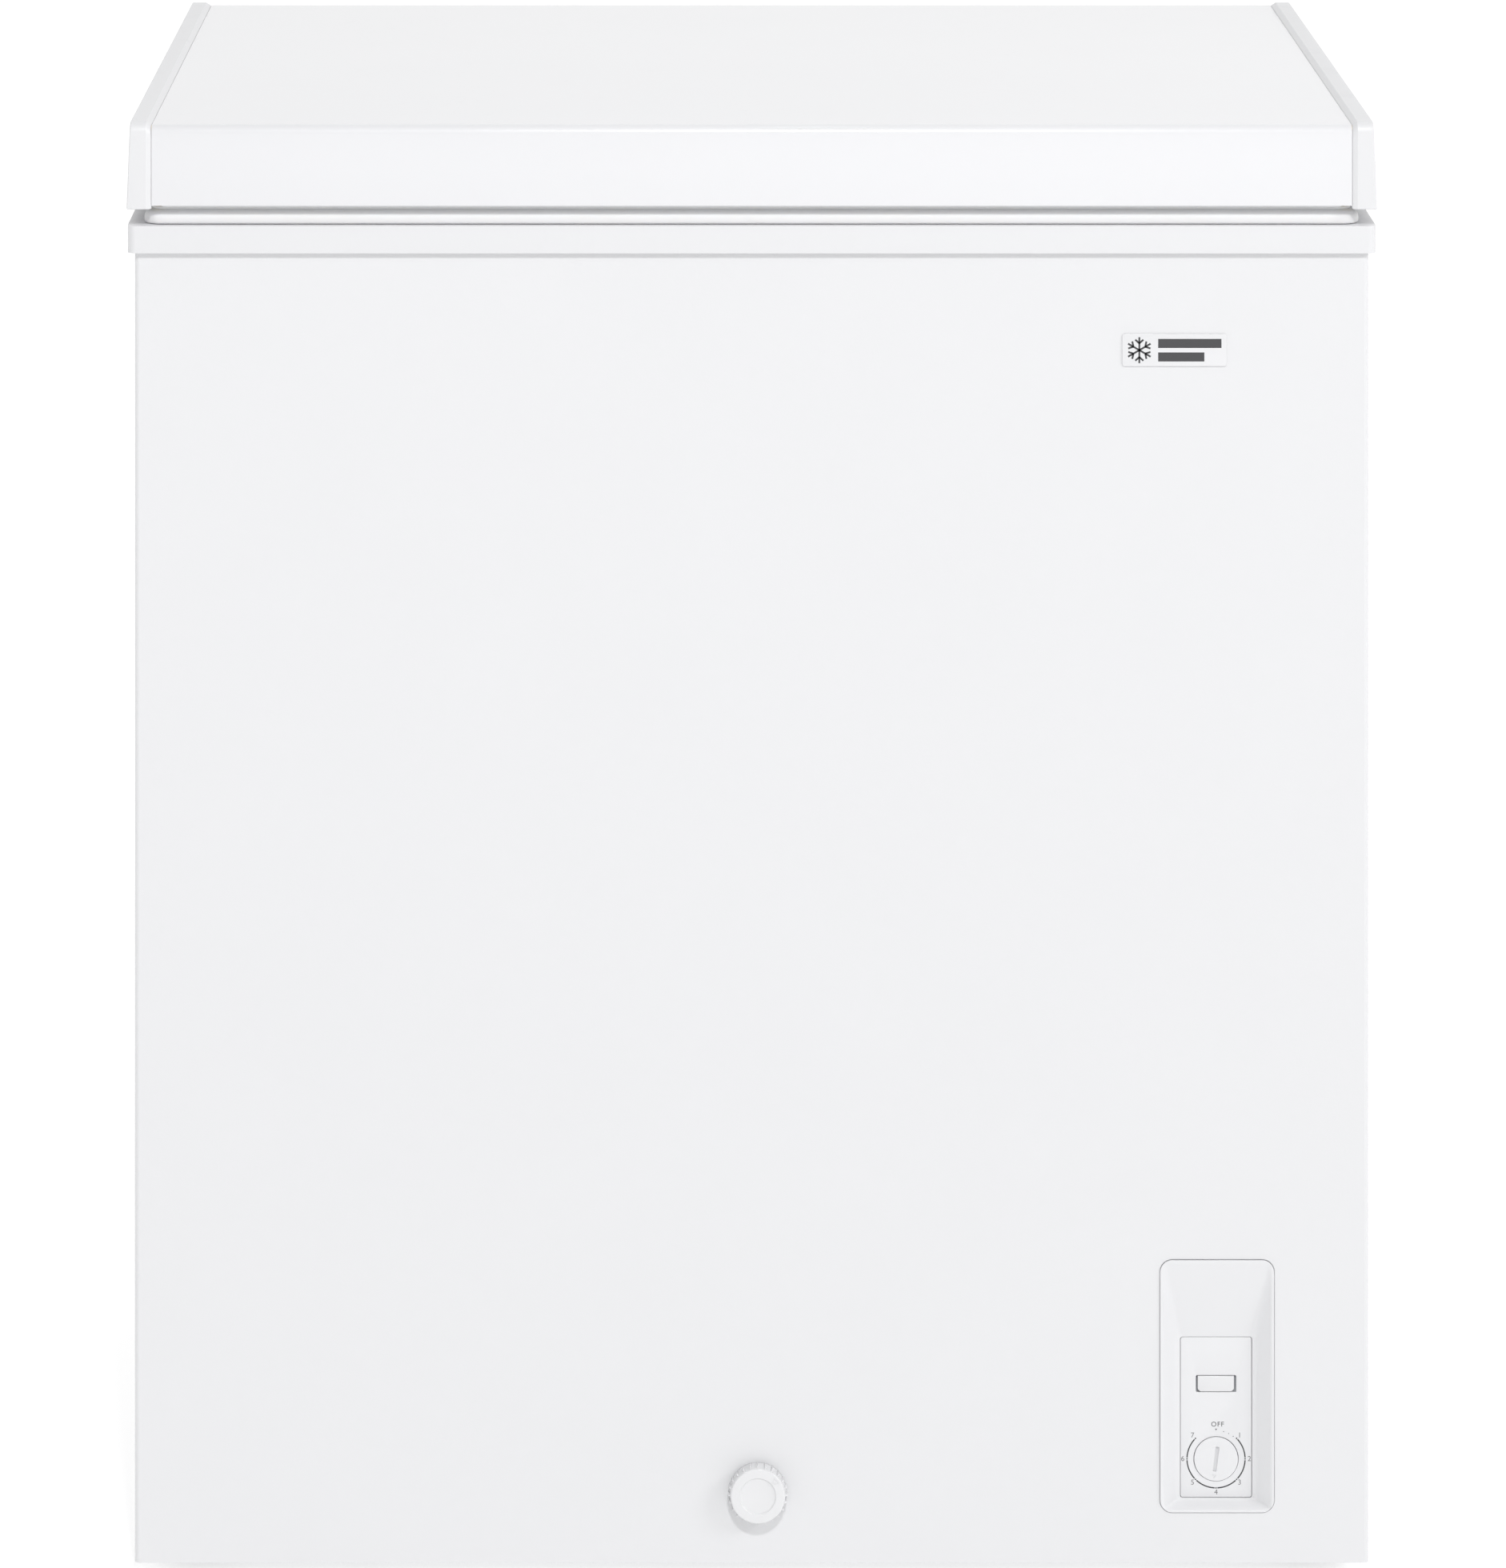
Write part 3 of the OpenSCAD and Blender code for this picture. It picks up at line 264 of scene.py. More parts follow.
def grained_plastic(name, tone, gloss=0.5):
    """Moulded plastic with a leathery mould grain and paler worn patches."""
    f = Finish(name, IOR=1.5)
    grain = f.cells(1100, "SMOOTH_F1")
    worn = f.noise(70, 4, 0.6)
    pale = tuple(min(1.0, c * 1.35 + 0.01) for c in tone) + (1,)
    f.feed("Base Color", f.mix(worn * 0.55, tone + (1,), pale))
    f.feed("Roughness", gloss + worn * 0.14)
    f.relief(grain, 0.00012, 0.5)
    return f.material


def moulded_rubber(name, tone):
    """Black rubber: matt, with bloom and talc in the pits."""
    f = Finish(name, IOR=1.5)
    talc = f.ramp(f.noise(130, 5, 0.7), (0.48, 0.0), (0.8, 1.0))
    pale = tuple(c + 0.06 for c in tone) + (1,)
    f.feed("Base Color", f.mix(talc * 0.7, tone + (1,), pale))
    f.feed("Roughness", 0.62 + talc * 0.2)
    f.relief(f.noise(800, 3), 0.00006, 0.6)
    return f.material


def rigid_foam(name):
    """Poured foam: cream coloured, with open cells and a darker skin."""
    f = Finish(name)
    pores = f.cells(420)
    skin = f.noise(18, 4, 0.6)
    f.feed("Base Color", f.mix(skin, (0.78, 0.66, 0.42, 1), (0.87, 0.78, 0.56, 1)))
    f.feed("Roughness", 0.8 + pores * 0.1)
    f.relief(pores, 0.0008, 0.7)
    return f.material


def frosted_lens(name):
    """Milky lens of the power light, with a fine frosted back."""
    f = Finish(name, IOR=1.49, Subsurface_Weight=0.2)
    f.shader.inputs["Subsurface Radius"].default_value = (0.003, 0.003, 0.003)
    frost = f.noise(1300, 2)
    haze = f.noise(60, 3)
    f.feed("Base Color", f.mix(haze, (0.66, 0.662, 0.672, 1), (0.68, 0.682, 0.692, 1)))
    f.feed("Roughness", 0.16 + frost * 0.08)
    f.relief(frost, 0.00002, 0.4)
    return f.material


def tinted_lamp(name):
    """Amber body of the power light, a little cloudy."""
    f = Finish(name, IOR=1.5, Coat_Weight=0.5)
    depth = f.noise(240, 3)
    f.feed("Base Color", f.mix(depth, (0.75, 0.32, 0.06, 1), (0.9, 0.5, 0.14, 1)))
    f.feed("Roughness", 0.14 + depth * 0.1)
    f.relief(depth, 0.0001, 0.3)
    return f.material


def printing_ink(name, tone):
    """Pad printed ink, a little uneven at its edges and in its cover."""
    f = Finish(name, IOR=1.45)
    cover = f.noise(2600, 3, 0.6)
    pale = tuple(c * 1.25 + 0.01 for c in tone) + (1,)
    f.feed("Base Color", f.mix(cover, tone + (1,), pale))
    f.feed("Roughness", 0.42 + cover * 0.15)
    f.relief(cover, 0.00001, 0.5)
    return f.material


WHITE_PAINT = (0.668, 0.67, 0.682)
WHITE_MOULDING = (0.664, 0.666, 0.678)

cabinet_paint = painted_sheet("cabinet_paint", WHITE_PAINT, 0.36)
lid_paint = painted_sheet("lid_paint", (0.692, 0.693, 0.709), 0.3)
frame_plastic = moulded_white("frame_plastic", WHITE_MOULDING)
cap_plastic = moulded_white("cap_plastic", WHITE_MOULDING, 0.36)
panel_plastic = moulded_white("panel_plastic", (0.675, 0.677, 0.69), 0.34)
drain_plastic = moulded_white("drain_plastic", (0.675, 0.677, 0.687), 0.3)
inner_plastic = moulded_white("inner_plastic", (0.80, 0.81, 0.82), 0.3)
gasket_vinyl = soft_vinyl("gasket_vinyl", (0.745, 0.75, 0.765))
liner_sheet = stucco_liner("liner_sheet")
zinc_sheet = spangled_zinc("zinc_sheet", (0.52, 0.53, 0.545))
bright_steel = plated_steel("bright_steel", (0.62, 0.62, 0.62))
hinge_steel = plated_steel("hinge_steel", (0.52, 0.525, 0.53), (8, 1, 1))
spring_wire = plated_steel("spring_wire", (0.3, 0.3, 0.31), (1, 1, 1))
copper = drawn_copper("copper_tube")
compressor_paint = black_enamel("compressor_paint")
black_plastic = grained_plastic("black_plastic", (0.03, 0.03, 0.032))
grille_plastic = grained_plastic("grille_plastic", (0.06, 0.062, 0.066))
grey_plastic = grained_plastic("grey_plastic", (0.26, 0.27, 0.285), 0.42)
foot_rubber = moulded_rubber("foot_rubber", (0.022, 0.022, 0.022))
foam = rigid_foam("foam_body")
lens_white = frosted_lens("lens_white")
lamp_glow = tinted_lamp("lamp_amber")
wire_coat = moulded_white("wire_coat", (0.81, 0.815, 0.825), 0.24)
ink_dark = printing_ink("ink_dark", (0.045, 0.045, 0.048))
ink_pale = printing_ink("ink_pale", (0.16, 0.16, 0.165))

NODE_FINISHES = {
    cabinet_paint: "outer_wrap",
    zinc_sheet: "back_panel base_pan bay_lining",
    foot_rubber: "feet compressor_grommets",
    foam: "cabinet_foam lid_foam",
    liner_sheet: "inner_liner",
    frame_plastic: "top_frame",
    panel_plastic: "control_bezel control_plate thermostat_knob",
    drain_plastic: "drain_funnel drain_tube drain_socket drain_spout drain_cap",
    cap_plastic: "lid_end_cap_left lid_end_cap_right",
    inner_plastic: "lid_inner_panel",
    lid_paint: "lid_skin",
    bright_steel: "evaporator_coil thermostat_body thermostat_shaft grille_screws "
                  "hinge_pin_left hinge_pin_right bracket_screws arm_screws compressor_bolts",
    hinge_steel: "hinge_bracket_left hinge_bracket_right hinge_arm_left hinge_arm_right",
    copper: "condenser_coil discharge_tube suction_tube process_tube filter_drier capillary_tube",
    compressor_paint: "compressor_plate compressor_shell",
    black_plastic: "relay_cover cord_gland plunger_left plunger_right",
    grille_plastic: "rear_grille",
    grey_plastic: "drain_plug basket_grips",
    ink_dark: "nameplate",
    lamp_glow: "indicator_lamp",
    lens_white: "lamp_lens",
    spring_wire: "hinge_spring_left hinge_spring_right",
    gasket_vinyl: "lid_gasket",
    wire_coat: "basket_wire",
}


def finish_frame():
    """Gives every carried-over node its finish."""
    for material, names in NODE_FINISHES.items():
        for name in names.split():
            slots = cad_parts[name].material_slots
            for held in slots:
                held.material = material


# ---- studio ----

EYE = Vector((-0.0535, -4.184, 1.444))
AIM = Vector((0.0007, -0.268, 0.4655))
LENS = 158.74


def set_camera():
    """A view camera: its film stays upright while the lens looks down, so upright edges
    stay parallel without a shift. The rig's matrix holds the upright film."""
    camera = bpy.data.objects.new("camera", bpy.data.cameras.new("camera"))
    rig = bpy.data.objects.new("camera_rig", None)
    for thing in (camera, rig):
        scene.collection.objects.link(thing)
    camera.data.sensor_width = 36
    camera.data.lens = LENS
    back = (EYE - AIM).normalized()
    camera.parent = rig
    camera.matrix_parent_inverse = Matrix((
        (1, 0, back.x, EYE.x),
        (0, 0, back.y, EYE.y),
        (0, 1, back.z, EYE.z),
        (0, 0, 0, 1)))
    scene.camera = camera


def soft_box(name, place, size, energy):
    """A square soft light aimed at the middle of the freezer."""
    lamp = bpy.data.lights.new(name, "AREA")
    lamp.shape = "SQUARE"
    lamp.size = size
    lamp.energy = energy
    box = bpy.data.objects.new(name, lamp)
    box.location = place
    middle = Vector((0, 0, 0.45))
    box.rotation_euler = (middle - box.location).to_track_quat("-Z", "Y").to_euler()
    scene.collection.objects.link(box)


def set_studio():
    """White floor and backdrop, an even pale surround and two soft boxes."""
    world = bpy.data.worlds.new("studio")
    world.use_nodes = True
    surround = world.node_tree.nodes["Background"]
    surround.inputs["Color"].default_value = (1, 1, 1, 1)
    surround.inputs["Strength"].default_value = 0.66
    scene.world = world
    scene.view_settings.view_transform = "Standard"
    soft_box("key_light", Vector((0.4, -5.0, 5.2)), 0.5, 174)
    soft_box("side_light", Vector((8.5, -4.9, 5.2)), 2.6, 260)
    screens = (("studio_floor", (0, 0, 0), (0, 0, 0), 60, 0.5, 0.63),
               ("studio_backdrop", (0, 12, 0), (math.pi / 2, 0, 0), 40, 0.05, 1.0))
    for name, place, turn, size, tone, glow in screens:
        bpy.ops.mesh.primitive_plane_add(size=size, location=place, rotation=turn)
        screen = bpy.context.object
        screen.name = name
        f = Finish(name, Roughness=0.9)
        f.feed("Base Color", f.mix(f.noise(3, 2), grey(tone), grey(tone + 0.02)))
        f.shader.inputs["Emission Color"].default_value = grey(1.0)
        f.shader.inputs["Emission Strength"].default_value = glow
        screen.data.materials.append(f.material)


# ---- modelling by operators ----

def clear():
    """Leaves edit mode and selects nothing."""
    if bpy.context.mode != "OBJECT":
        bpy.ops.object.mode_set(mode="OBJECT")
    bpy.ops.object.select_all(action="DESELECT")


def hold(piece):
    """Selects one piece alone and makes it the active one."""
    clear()
    piece.select_set(True)
    bpy.context.view_layer.objects.active = piece


@contextmanager
def shaping(piece):
    """Edit mode on one piece, with nothing selected."""
    hold(piece)
    bpy.ops.object.mode_set(mode="EDIT")
    bpy.ops.mesh.select_all(action="DESELECT")
    yield
    bpy.ops.object.mode_set(mode="OBJECT")


def pick_faces(piece, test):
    """Selects the faces whose centre and normal pass the test."""
    bpy.ops.mesh.select_mode(type="FACE")
    mesh = bmesh.from_edit_mesh(piece.data)
    for face in mesh.faces:
        face.select_set(bool(test(face.calc_center_median(), face.normal)))
    bmesh.update_edit_mesh(piece.data)


def pick_edges(piece, test):
    """Selects the edges whose two ends pass the test."""
    bpy.ops.mesh.select_mode(type="EDGE")
    mesh = bmesh.from_edit_mesh(piece.data)
    for edge in mesh.edges:
        edge.select_set(bool(test(edge.verts[0].co, edge.verts[1].co)))
    bmesh.update_edit_mesh(piece.data)


def pick_corners(piece, test):
    """Selects the vertices whose place passes the test."""
    bpy.ops.mesh.select_mode(type="VERT")
    mesh = bmesh.from_edit_mesh(piece.data)
    for corner in mesh.verts:
        corner.select_set(bool(test(corner.co)))
    mesh.select_flush_mode()
    bmesh.update_edit_mesh(piece.data)


def slide(vector):
    """Moves what is selected."""
    bpy.ops.transform.translate(value=vector)


def bake_place(piece):
    """Moves a piece's place, turn and size into its mesh."""
    hold(piece)
    bpy.ops.object.transform_apply(location=True, rotation=True, scale=True)
    return piece


def block(name, lo, hi):
    """A block between two corners."""
    clear()
    lo, hi = Vector(lo), Vector(hi)
    bpy.ops.mesh.primitive_cube_add(size=1, location=(lo + hi) / 2)
    piece = bpy.context.object
    piece.name = name
    piece.scale = hi - lo
    return bake_place(piece)


def slab(name, lo, hi, axis, corner, segments=8):
    """A block whose four edges along one axis are rounded."""
    piece = block(name, lo, hi)
    with shaping(piece):
        pick_edges(piece, lambda a, b: abs(a[axis] - b[axis]) > 1e-6)
        bpy.ops.mesh.bevel(offset=corner, segments=segments, affect="EDGES")
    return piece


def drum(name, start, end, radius, sides=64):
    """A cylinder from start to end."""
    clear()
    start, end = Vector(start), Vector(end)
    bpy.ops.mesh.primitive_cylinder_add(vertices=sides, radius=radius, depth=(end - start).length,
                                        location=(start + end) / 2)
    piece = bpy.context.object
    piece.name = name
    piece.rotation_euler = (end - start).to_track_quat("Z", "Y").to_euler()
    return bake_place(piece)


def terrace(piece, facing, *steps):
    """Works the flat face that looks along facing. A step is (inset, rise)."""
    facing = Vector(facing)
    with shaping(piece):
        pick_faces(piece, lambda centre, normal: normal.dot(facing) > 0.99)
        for inward, rise in steps:
            if inward:
                bpy.ops.mesh.inset(thickness=inward, depth=rise)
            else:
                bpy.ops.mesh.extrude_region_move(TRANSFORM_OT_translate={"value": facing * rise})


def modified(piece, kind, **settings):
    """Adds a modifier with its settings and applies it."""
    hold(piece)
    modifier = piece.modifiers.new(kind.lower(), kind)
    for key, value in settings.items():
        setattr(modifier, key, value)
    bpy.ops.object.modifier_apply(modifier=modifier.name)
    return piece


def soften(piece, width, segments=3, angle=40):
    """Rounds the edges that are sharper than an angle."""
    return modified(piece, "BEVEL", width=width, segments=segments, limit_method="ANGLE",
                    angle_limit=math.radians(angle), use_clamp_overlap=True)


def cut(piece, *tools, operation="DIFFERENCE"):
    """Cuts the tools out of a piece and removes them."""
    for tool in tools:
        modified(piece, "BOOLEAN", object=tool, operation=operation, solver="EXACT")
        bpy.data.objects.remove(tool)
    return piece


def joined(piece, others):
    """One piece from several."""
    hold(piece)
    for other in others:
        other.select_set(True)
    bpy.ops.object.join()
    return piece


def turned(piece, angle, axis, centre):
    """Turns a finished piece about an axis through a centre, in its mesh."""
    centre = Vector(centre)
    turn = Matrix.Translation(centre) @ Matrix.Rotation(angle, 4, axis) @ Matrix.Translation(-centre)
    piece.data.transform(turn)
    return piece


def outward(piece):
    """Turns every face of a piece to point out."""
    with shaping(piece):
        bpy.ops.mesh.select_all(action="SELECT")
        bpy.ops.mesh.normals_make_consistent(inside=False)
    return piece


def settle(piece, body, material, slot_name, *stands_for, angle=32, fasten=True):
    """Shades a finished piece, gives it its finish and fastens it to its body."""
    hold(piece)
    bpy.ops.object.shade_smooth_by_angle(angle=math.radians(angle))
    piece.data.materials.clear()
    piece.data.materials.append(material)
    if fasten:
        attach(piece, body)
    if stands_for:
        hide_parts(*stands_for)
    return piece


def grown(lo, hi, by):
    """A box's corners moved outward by one amount, or one for each axis."""
    by = Vector(by) if hasattr(by, "__len__") else Vector((by, by, by))
    return Vector(lo) - by, Vector(hi) + by


# ---- lid ----

FOLD = 5.5 * MM
SHEET = 0.8 * MM
PLUG_CORNER = 14 * MM


def lid_sheet():
    """Steel sheet folded over the front and back, hemmed below."""
    lo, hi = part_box("lid_skin")
    piece = block("lid_sheet", lo, hi)
    hem = 9 * MM
    with shaping(piece):
        pick_edges(piece, lambda a, b: a.z > lo.z + MM and b.z > lo.z + MM and abs(a.x - b.x) > MM)
        bpy.ops.mesh.bevel(offset=FOLD, segments=12, affect="EDGES")
        pick_faces(piece, lambda centre, normal: normal.z < -0.9 or abs(normal.x) > 0.9)
        bpy.ops.mesh.delete(type="FACE")
        for y, inward in ((lo.y, hem), (hi.y, -hem)):
            pick_edges(piece, lambda a, b: max(a.z, b.z) < lo.z + MM / 2 and abs(a.y - y) < MM / 2
                       and abs(b.y - y) < MM / 2)
            bpy.ops.mesh.extrude_region_move(TRANSFORM_OT_translate={"value": (0, inward, 0)})
    modified(piece, "SOLIDIFY", thickness=SHEET, offset=-1)
    soften(piece, 0.5 * MM, 3, 60)
    return settle(piece, "lid", lid_paint, "cabinet_white", "lid_skin")


def end_cap(side, name):
    """Moulded cap over an end of the lid, with a raised rim and a sloped flank to the sheet."""
    lo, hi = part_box(name)
    outer, inner = (hi.x, lo.x) if side > 0 else (lo.x, hi.x)
    draft = 2 * MM
    flank = 3.2 * MM
    edge = inner + side * flank
    piece = block(name.replace("lid_", "") + "_shell", (min(edge, outer), lo.y, lo.z),
                  (max(edge, outer), hi.y, hi.z))
    sheet_lo, sheet_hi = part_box("lid_skin")
    sunk = 0.12 * MM
    with shaping(piece):
        pick_corners(piece, lambda c: abs(c.x - outer) < 0.5 * MM and c.z > hi.z - MM)
        slide((-side * draft, 0, 0))
        pick_edges(piece, lambda a, b: a.z > hi.z - MM and b.z > hi.z - MM and abs(a.x - b.x) > MM)
        bpy.ops.mesh.bevel(offset=FOLD + 1.5 * MM, segments=10, affect="EDGES")
        pick_faces(piece, lambda centre, normal: normal.x * side < -0.99)
        bpy.ops.mesh.extrude_region_move(TRANSFORM_OT_translate={"value": (-side * flank, 0, 0)})
        bpy.ops.transform.resize(
            value=(1, (hi.y - sheet_lo.y - sunk) / (hi.y - lo.y), (sheet_hi.z - sunk - lo.z) / (hi.z - lo.z)),
            center_override=(inner, hi.y, lo.z))
    wall, hollow_w, hollow_h = 5 * MM, 6 * MM, 1.6 * MM
    cut(piece, block("hollow", (min(inner - MM, edge + side * hollow_w), lo.y + wall, lo.z - MM),
                     (max(inner + MM, edge + side * hollow_w), hi.y - wall, lo.z + hollow_h)))
    soften(piece, 1.6 * MM, 8, 50)
    return settle(piece, "lid", cap_plastic, "white_plastic", name, angle=16)


def lid_liner():
    """Vacuum formed inner panel: a flange, a deep plug with round shoulders and a shallow pan."""
    lo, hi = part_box("lid_inner_panel")
    open_lo, open_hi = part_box("inner_liner")
    inset = 17.7 * MM
    set_back, flange_t, flange_corner = 5 * MM, 2 * MM, 3 * MM
    border, step_in = 38 * MM, 16 * MM
    pan_depth, tray_depth = 1.1 * MM, 1.7 * MM
    flange = slab("lid_liner", (lo.x + set_back, lo.y + set_back, hi.z - flange_t),
                  (hi.x - set_back, hi.y - set_back, hi.z), 2, flange_corner)
    plug_lo = Vector((open_lo.x + inset, open_lo.y + 16 * MM, lo.z))
    plug_hi = Vector((open_hi.x - inset, open_hi.y - 18 * MM, hi.z - MM / 2))
    plug = slab("plug", plug_lo, plug_hi, 2, PLUG_CORNER, 10)
    with shaping(plug):
        pick_edges(plug, lambda a, b: max(a.z, b.z) < lo.z + 0.1 * MM)
        bpy.ops.mesh.bevel(offset=3 * MM, segments=5, affect="EDGES")
    pan_lo, pan_hi = grown(plug_lo, plug_hi, (-border, -border, 0))
    pan = slab("pan", (pan_lo.x, pan_lo.y, lo.z - MM), (pan_hi.x, pan_hi.y, lo.z + pan_depth), 2,
               30 * MM, 10)
    tray = slab("tray", (pan_lo.x + step_in, pan_lo.y + step_in, lo.z + MM / 2),
                (pan_hi.x - step_in, pan_hi.y - step_in, lo.z + tray_depth), 2, 18 * MM, 10)
    cut(plug, pan, tray)
    soften(plug, 0.4 * MM, 3, 50)
    return settle(joined(flange, [plug]), "lid", inner_plastic, "white_plastic", "lid_inner_panel")


def rounded_band(name, lo, hi, width, corner, over, under):
    """A closed band round the lid, rounded by one amount above and another below."""
    piece = slab(name, lo, hi, 2, corner, 10)
    for z, amount in ((hi[2], over), (lo[2], under)):
        with shaping(piece):
            pick_edges(piece, lambda a, b: abs(a.z - z) < 0.01 * MM and abs(b.z - z) < 0.01 * MM)
            bpy.ops.mesh.bevel(offset=amount, segments=6, affect="EDGES")
    hollow_lo, hollow_hi = grown(lo, hi, (-width, -width, MM))
    cut(piece, slab("hollow", hollow_lo, hollow_hi, 2, max(corner - width, 3 * MM), 8))
    return soften(piece, min(over, under) * 0.8, 3, 60)


def gasket_ring():
    """Soft bulb seal all round the lid, hung from a narrower base."""
    lo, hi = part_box("lid_gasket")
    bulb_h, bulb_w, bulb_corner = 8.2 * MM, 16 * MM, 10 * MM
    shoulder, toe = 5 * MM, 1.4 * MM
    base_w, base_corner, base_inset, base_edge = 7 * MM, 7 * MM, 4.5 * MM, 0.5 * MM
    mid = lo.z + bulb_h
    bulb = rounded_band("gasket_ring", lo, (hi.x, hi.y, mid), bulb_w, bulb_corner, shoulder, toe)
    base_lo, base_hi = grown(lo, hi, (-base_inset, -base_inset, 0))
    base = rounded_band("base", (base_lo.x, base_lo.y, mid - MM), base_hi, base_w, base_corner,
                        base_edge, base_edge)
    return settle(joined(bulb, [base]), "lid", gasket_vinyl, "gasket_vinyl", "lid_gasket")


# ---- cabinet ----

def opening_frame():
    """Plastic frame round the opening, with a ledge inside for the basket's hooks."""
    lo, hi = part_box("top_frame")
    wrap_lo, wrap_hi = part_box("outer_wrap")
    liner_lo, liner_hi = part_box("inner_liner")
    arm_lo, arm_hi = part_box("hinge_bracket_right")
    ledge, ledge_z = 12 * MM, hi.z - 6 * MM
    mouth_lo = Vector((liner_lo.x + 3.7 * MM, liner_lo.y + 3 * MM, lo.z - MM))
    mouth_hi = Vector((liner_hi.x - 3.7 * MM, liner_hi.y - 3 * MM, hi.z + MM))
    piece = slab("opening_frame", lo, hi, 2, 5 * MM)
    ledge_lo, ledge_hi = grown(mouth_lo, mouth_hi, (ledge, ledge, 0))
    ledge_lo.z = ledge_z
    notches = [block("notch", (side * (arm_lo.x + arm_hi.x) / 2 - 16 * MM, wrap_hi.y, lo.z - MM),
                     (side * (arm_lo.x + arm_hi.x) / 2 + 16 * MM, hi.y + MM, hi.z + MM))
               for side in (-1, 1)]
    cut(piece,
        slab("mouth", mouth_lo, mouth_hi, 2, 12 * MM),
        slab("ledge", ledge_lo, ledge_hi, 2, 24 * MM),
        slab("under", (wrap_lo.x, wrap_lo.y, lo.z - MM), (wrap_hi.x, wrap_hi.y, wrap_hi.z), 2, 3 * MM),
        *notches)
    soften(piece, 1.5 * MM, 4, 50)
    return settle(piece, "cabinet", frame_plastic, "white_plastic", "top_frame")


def back_sheet():
    """Zinc coated back panel with pressed stiffening beads."""
    lo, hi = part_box("back_panel")
    grille_lo, grille_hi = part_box("rear_grille")
    piece = block("back_sheet", lo, hi)
    cut(piece, block("vent", (grille_lo.x + 12 * MM, lo.y - MM, grille_lo.z + 8 * MM),
                     (grille_hi.x - 12 * MM, hi.y + MM, grille_hi.z - 12 * MM)))
    beads = []
    bead_w, bead_rise = 14 * MM, 1.6 * MM
    for x in (-140 * MM, 0, 140 * MM):
        top = hi.z - 40 * MM
        bottom = (grille_hi.z if x > 100 * MM else lo.z) + 60 * MM
        bead = slab("bead", (x - bead_w / 2, hi.y - 0.4 * MM, bottom),
                    (x + bead_w / 2, hi.y + 0.1 * MM, top), 1, bead_w / 2 - 0.2 * MM, 10)
        terrace(bead, (0, 1, 0), (2 * MM, bead_rise * 0.7), (2 * MM, bead_rise * 0.3))
        beads.append(bead)
    return settle(joined(piece, beads), "cabinet", zinc_sheet, "galvanised", "back_panel")


# ---- control panel ----

PLATE_LO, PLATE_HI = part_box("control_plate")
KNOB_LO, KNOB_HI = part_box("thermostat_knob")
KNOB_AT = (KNOB_LO + KNOB_HI) / 2
PLATE_FACE = PLATE_LO.y


def soft_least(a, b, blend):
    """The smaller of two depths, rounded where they meet."""
    gap = max(blend - abs(a - b), 0.0) / blend
    return min(a, b) - gap * gap * blend / 4


def dish_depth(x, z, lo, hi):
    """Depth of the scooped bezel below its rim at a place on its face."""
    full = PLATE_FACE - lo.y
    rim = 1.3 * MM
    side = min(x - lo.x, hi.x - x) - rim
    low = z - lo.z - rim
    fall = (hi.z - rim - z) * full / (hi.z - rim - PLATE_HI.z)
    flank_slope = full / (PLATE_LO.x - lo.x - rim - 1.5 * MM)
    foot_slope = full / (PLATE_LO.z - lo.z - rim - 1 * MM)
    depth = soft_least(min(fall, full), side * flank_slope, 2.2 * MM)
    depth = soft_least(depth, low * foot_slope, 2.2 * MM)
    return max(depth, 0.0)


def dial_bezel():
    """White bezel: a thin rim, and a face that scoops down to the plate."""
    lo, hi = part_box("control_bezel")
    skirt = 5 * MM
    lo, hi = grown(lo, hi, (-skirt, 0, -skirt))
    clear()
    bpy.ops.mesh.primitive_grid_add(x_subdivisions=84, y_subdivisions=186, size=1)
    piece = bpy.context.object
    piece.name = "dial_bezel"
    piece.rotation_euler = (math.pi / 2, 0, 0)
    piece.scale = (hi.x - lo.x, hi.z - lo.z, 1)
    piece.location = ((lo.x + hi.x) / 2, lo.y, (lo.z + hi.z) / 2)
    bake_place(piece)
    for corner in piece.data.vertices:
        corner.co.y += dish_depth(corner.co.x, corner.co.z, lo, hi)
    with shaping(piece):
        bpy.ops.mesh.select_all(action="SELECT")
        bpy.ops.mesh.extrude_region_move(TRANSFORM_OT_translate={"value": (0, 0, 0)})
        bpy.ops.transform.resize(value=(1, 0, 1), center_override=(0, hi.y, 0))
    outward(piece)
    cut(piece, slab("outline", *grown(lo, hi, (0, MM, 0)), 1, 7 * MM, 12), operation="INTERSECT")
    pocket_lo, pocket_hi = grown(PLATE_LO, PLATE_HI, (0.3 * MM, 0, 0.3 * MM))
    cut(piece,
        slab("pocket", (pocket_lo.x, lo.y - MM, pocket_lo.z), pocket_hi, 1, 1.7 * MM),
        drum("knob_hole", (KNOB_AT.x, lo.y, KNOB_AT.z), (KNOB_AT.x, hi.y + MM, KNOB_AT.z), 10 * MM))
    back = slab("bezel_flange", *[Vector((p.x, y, p.z)) for p, y in
                zip(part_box("control_bezel"), (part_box("outer_wrap")[0].y + MM,
                                              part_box("outer_wrap")[0].y + 2.5 * MM))], 1, 10 * MM)
    cut(back, slab("hollow", (lo.x + MM, lo.y - MM, lo.z + MM), (hi.x - MM, hi.y + MM, hi.z - MM),
                   1, 6 * MM))
    joined(piece, [back])
    soften(piece, 0.35 * MM, 3, 55)
    return settle(piece, "cabinet", panel_plastic, "white_plastic", "control_bezel")


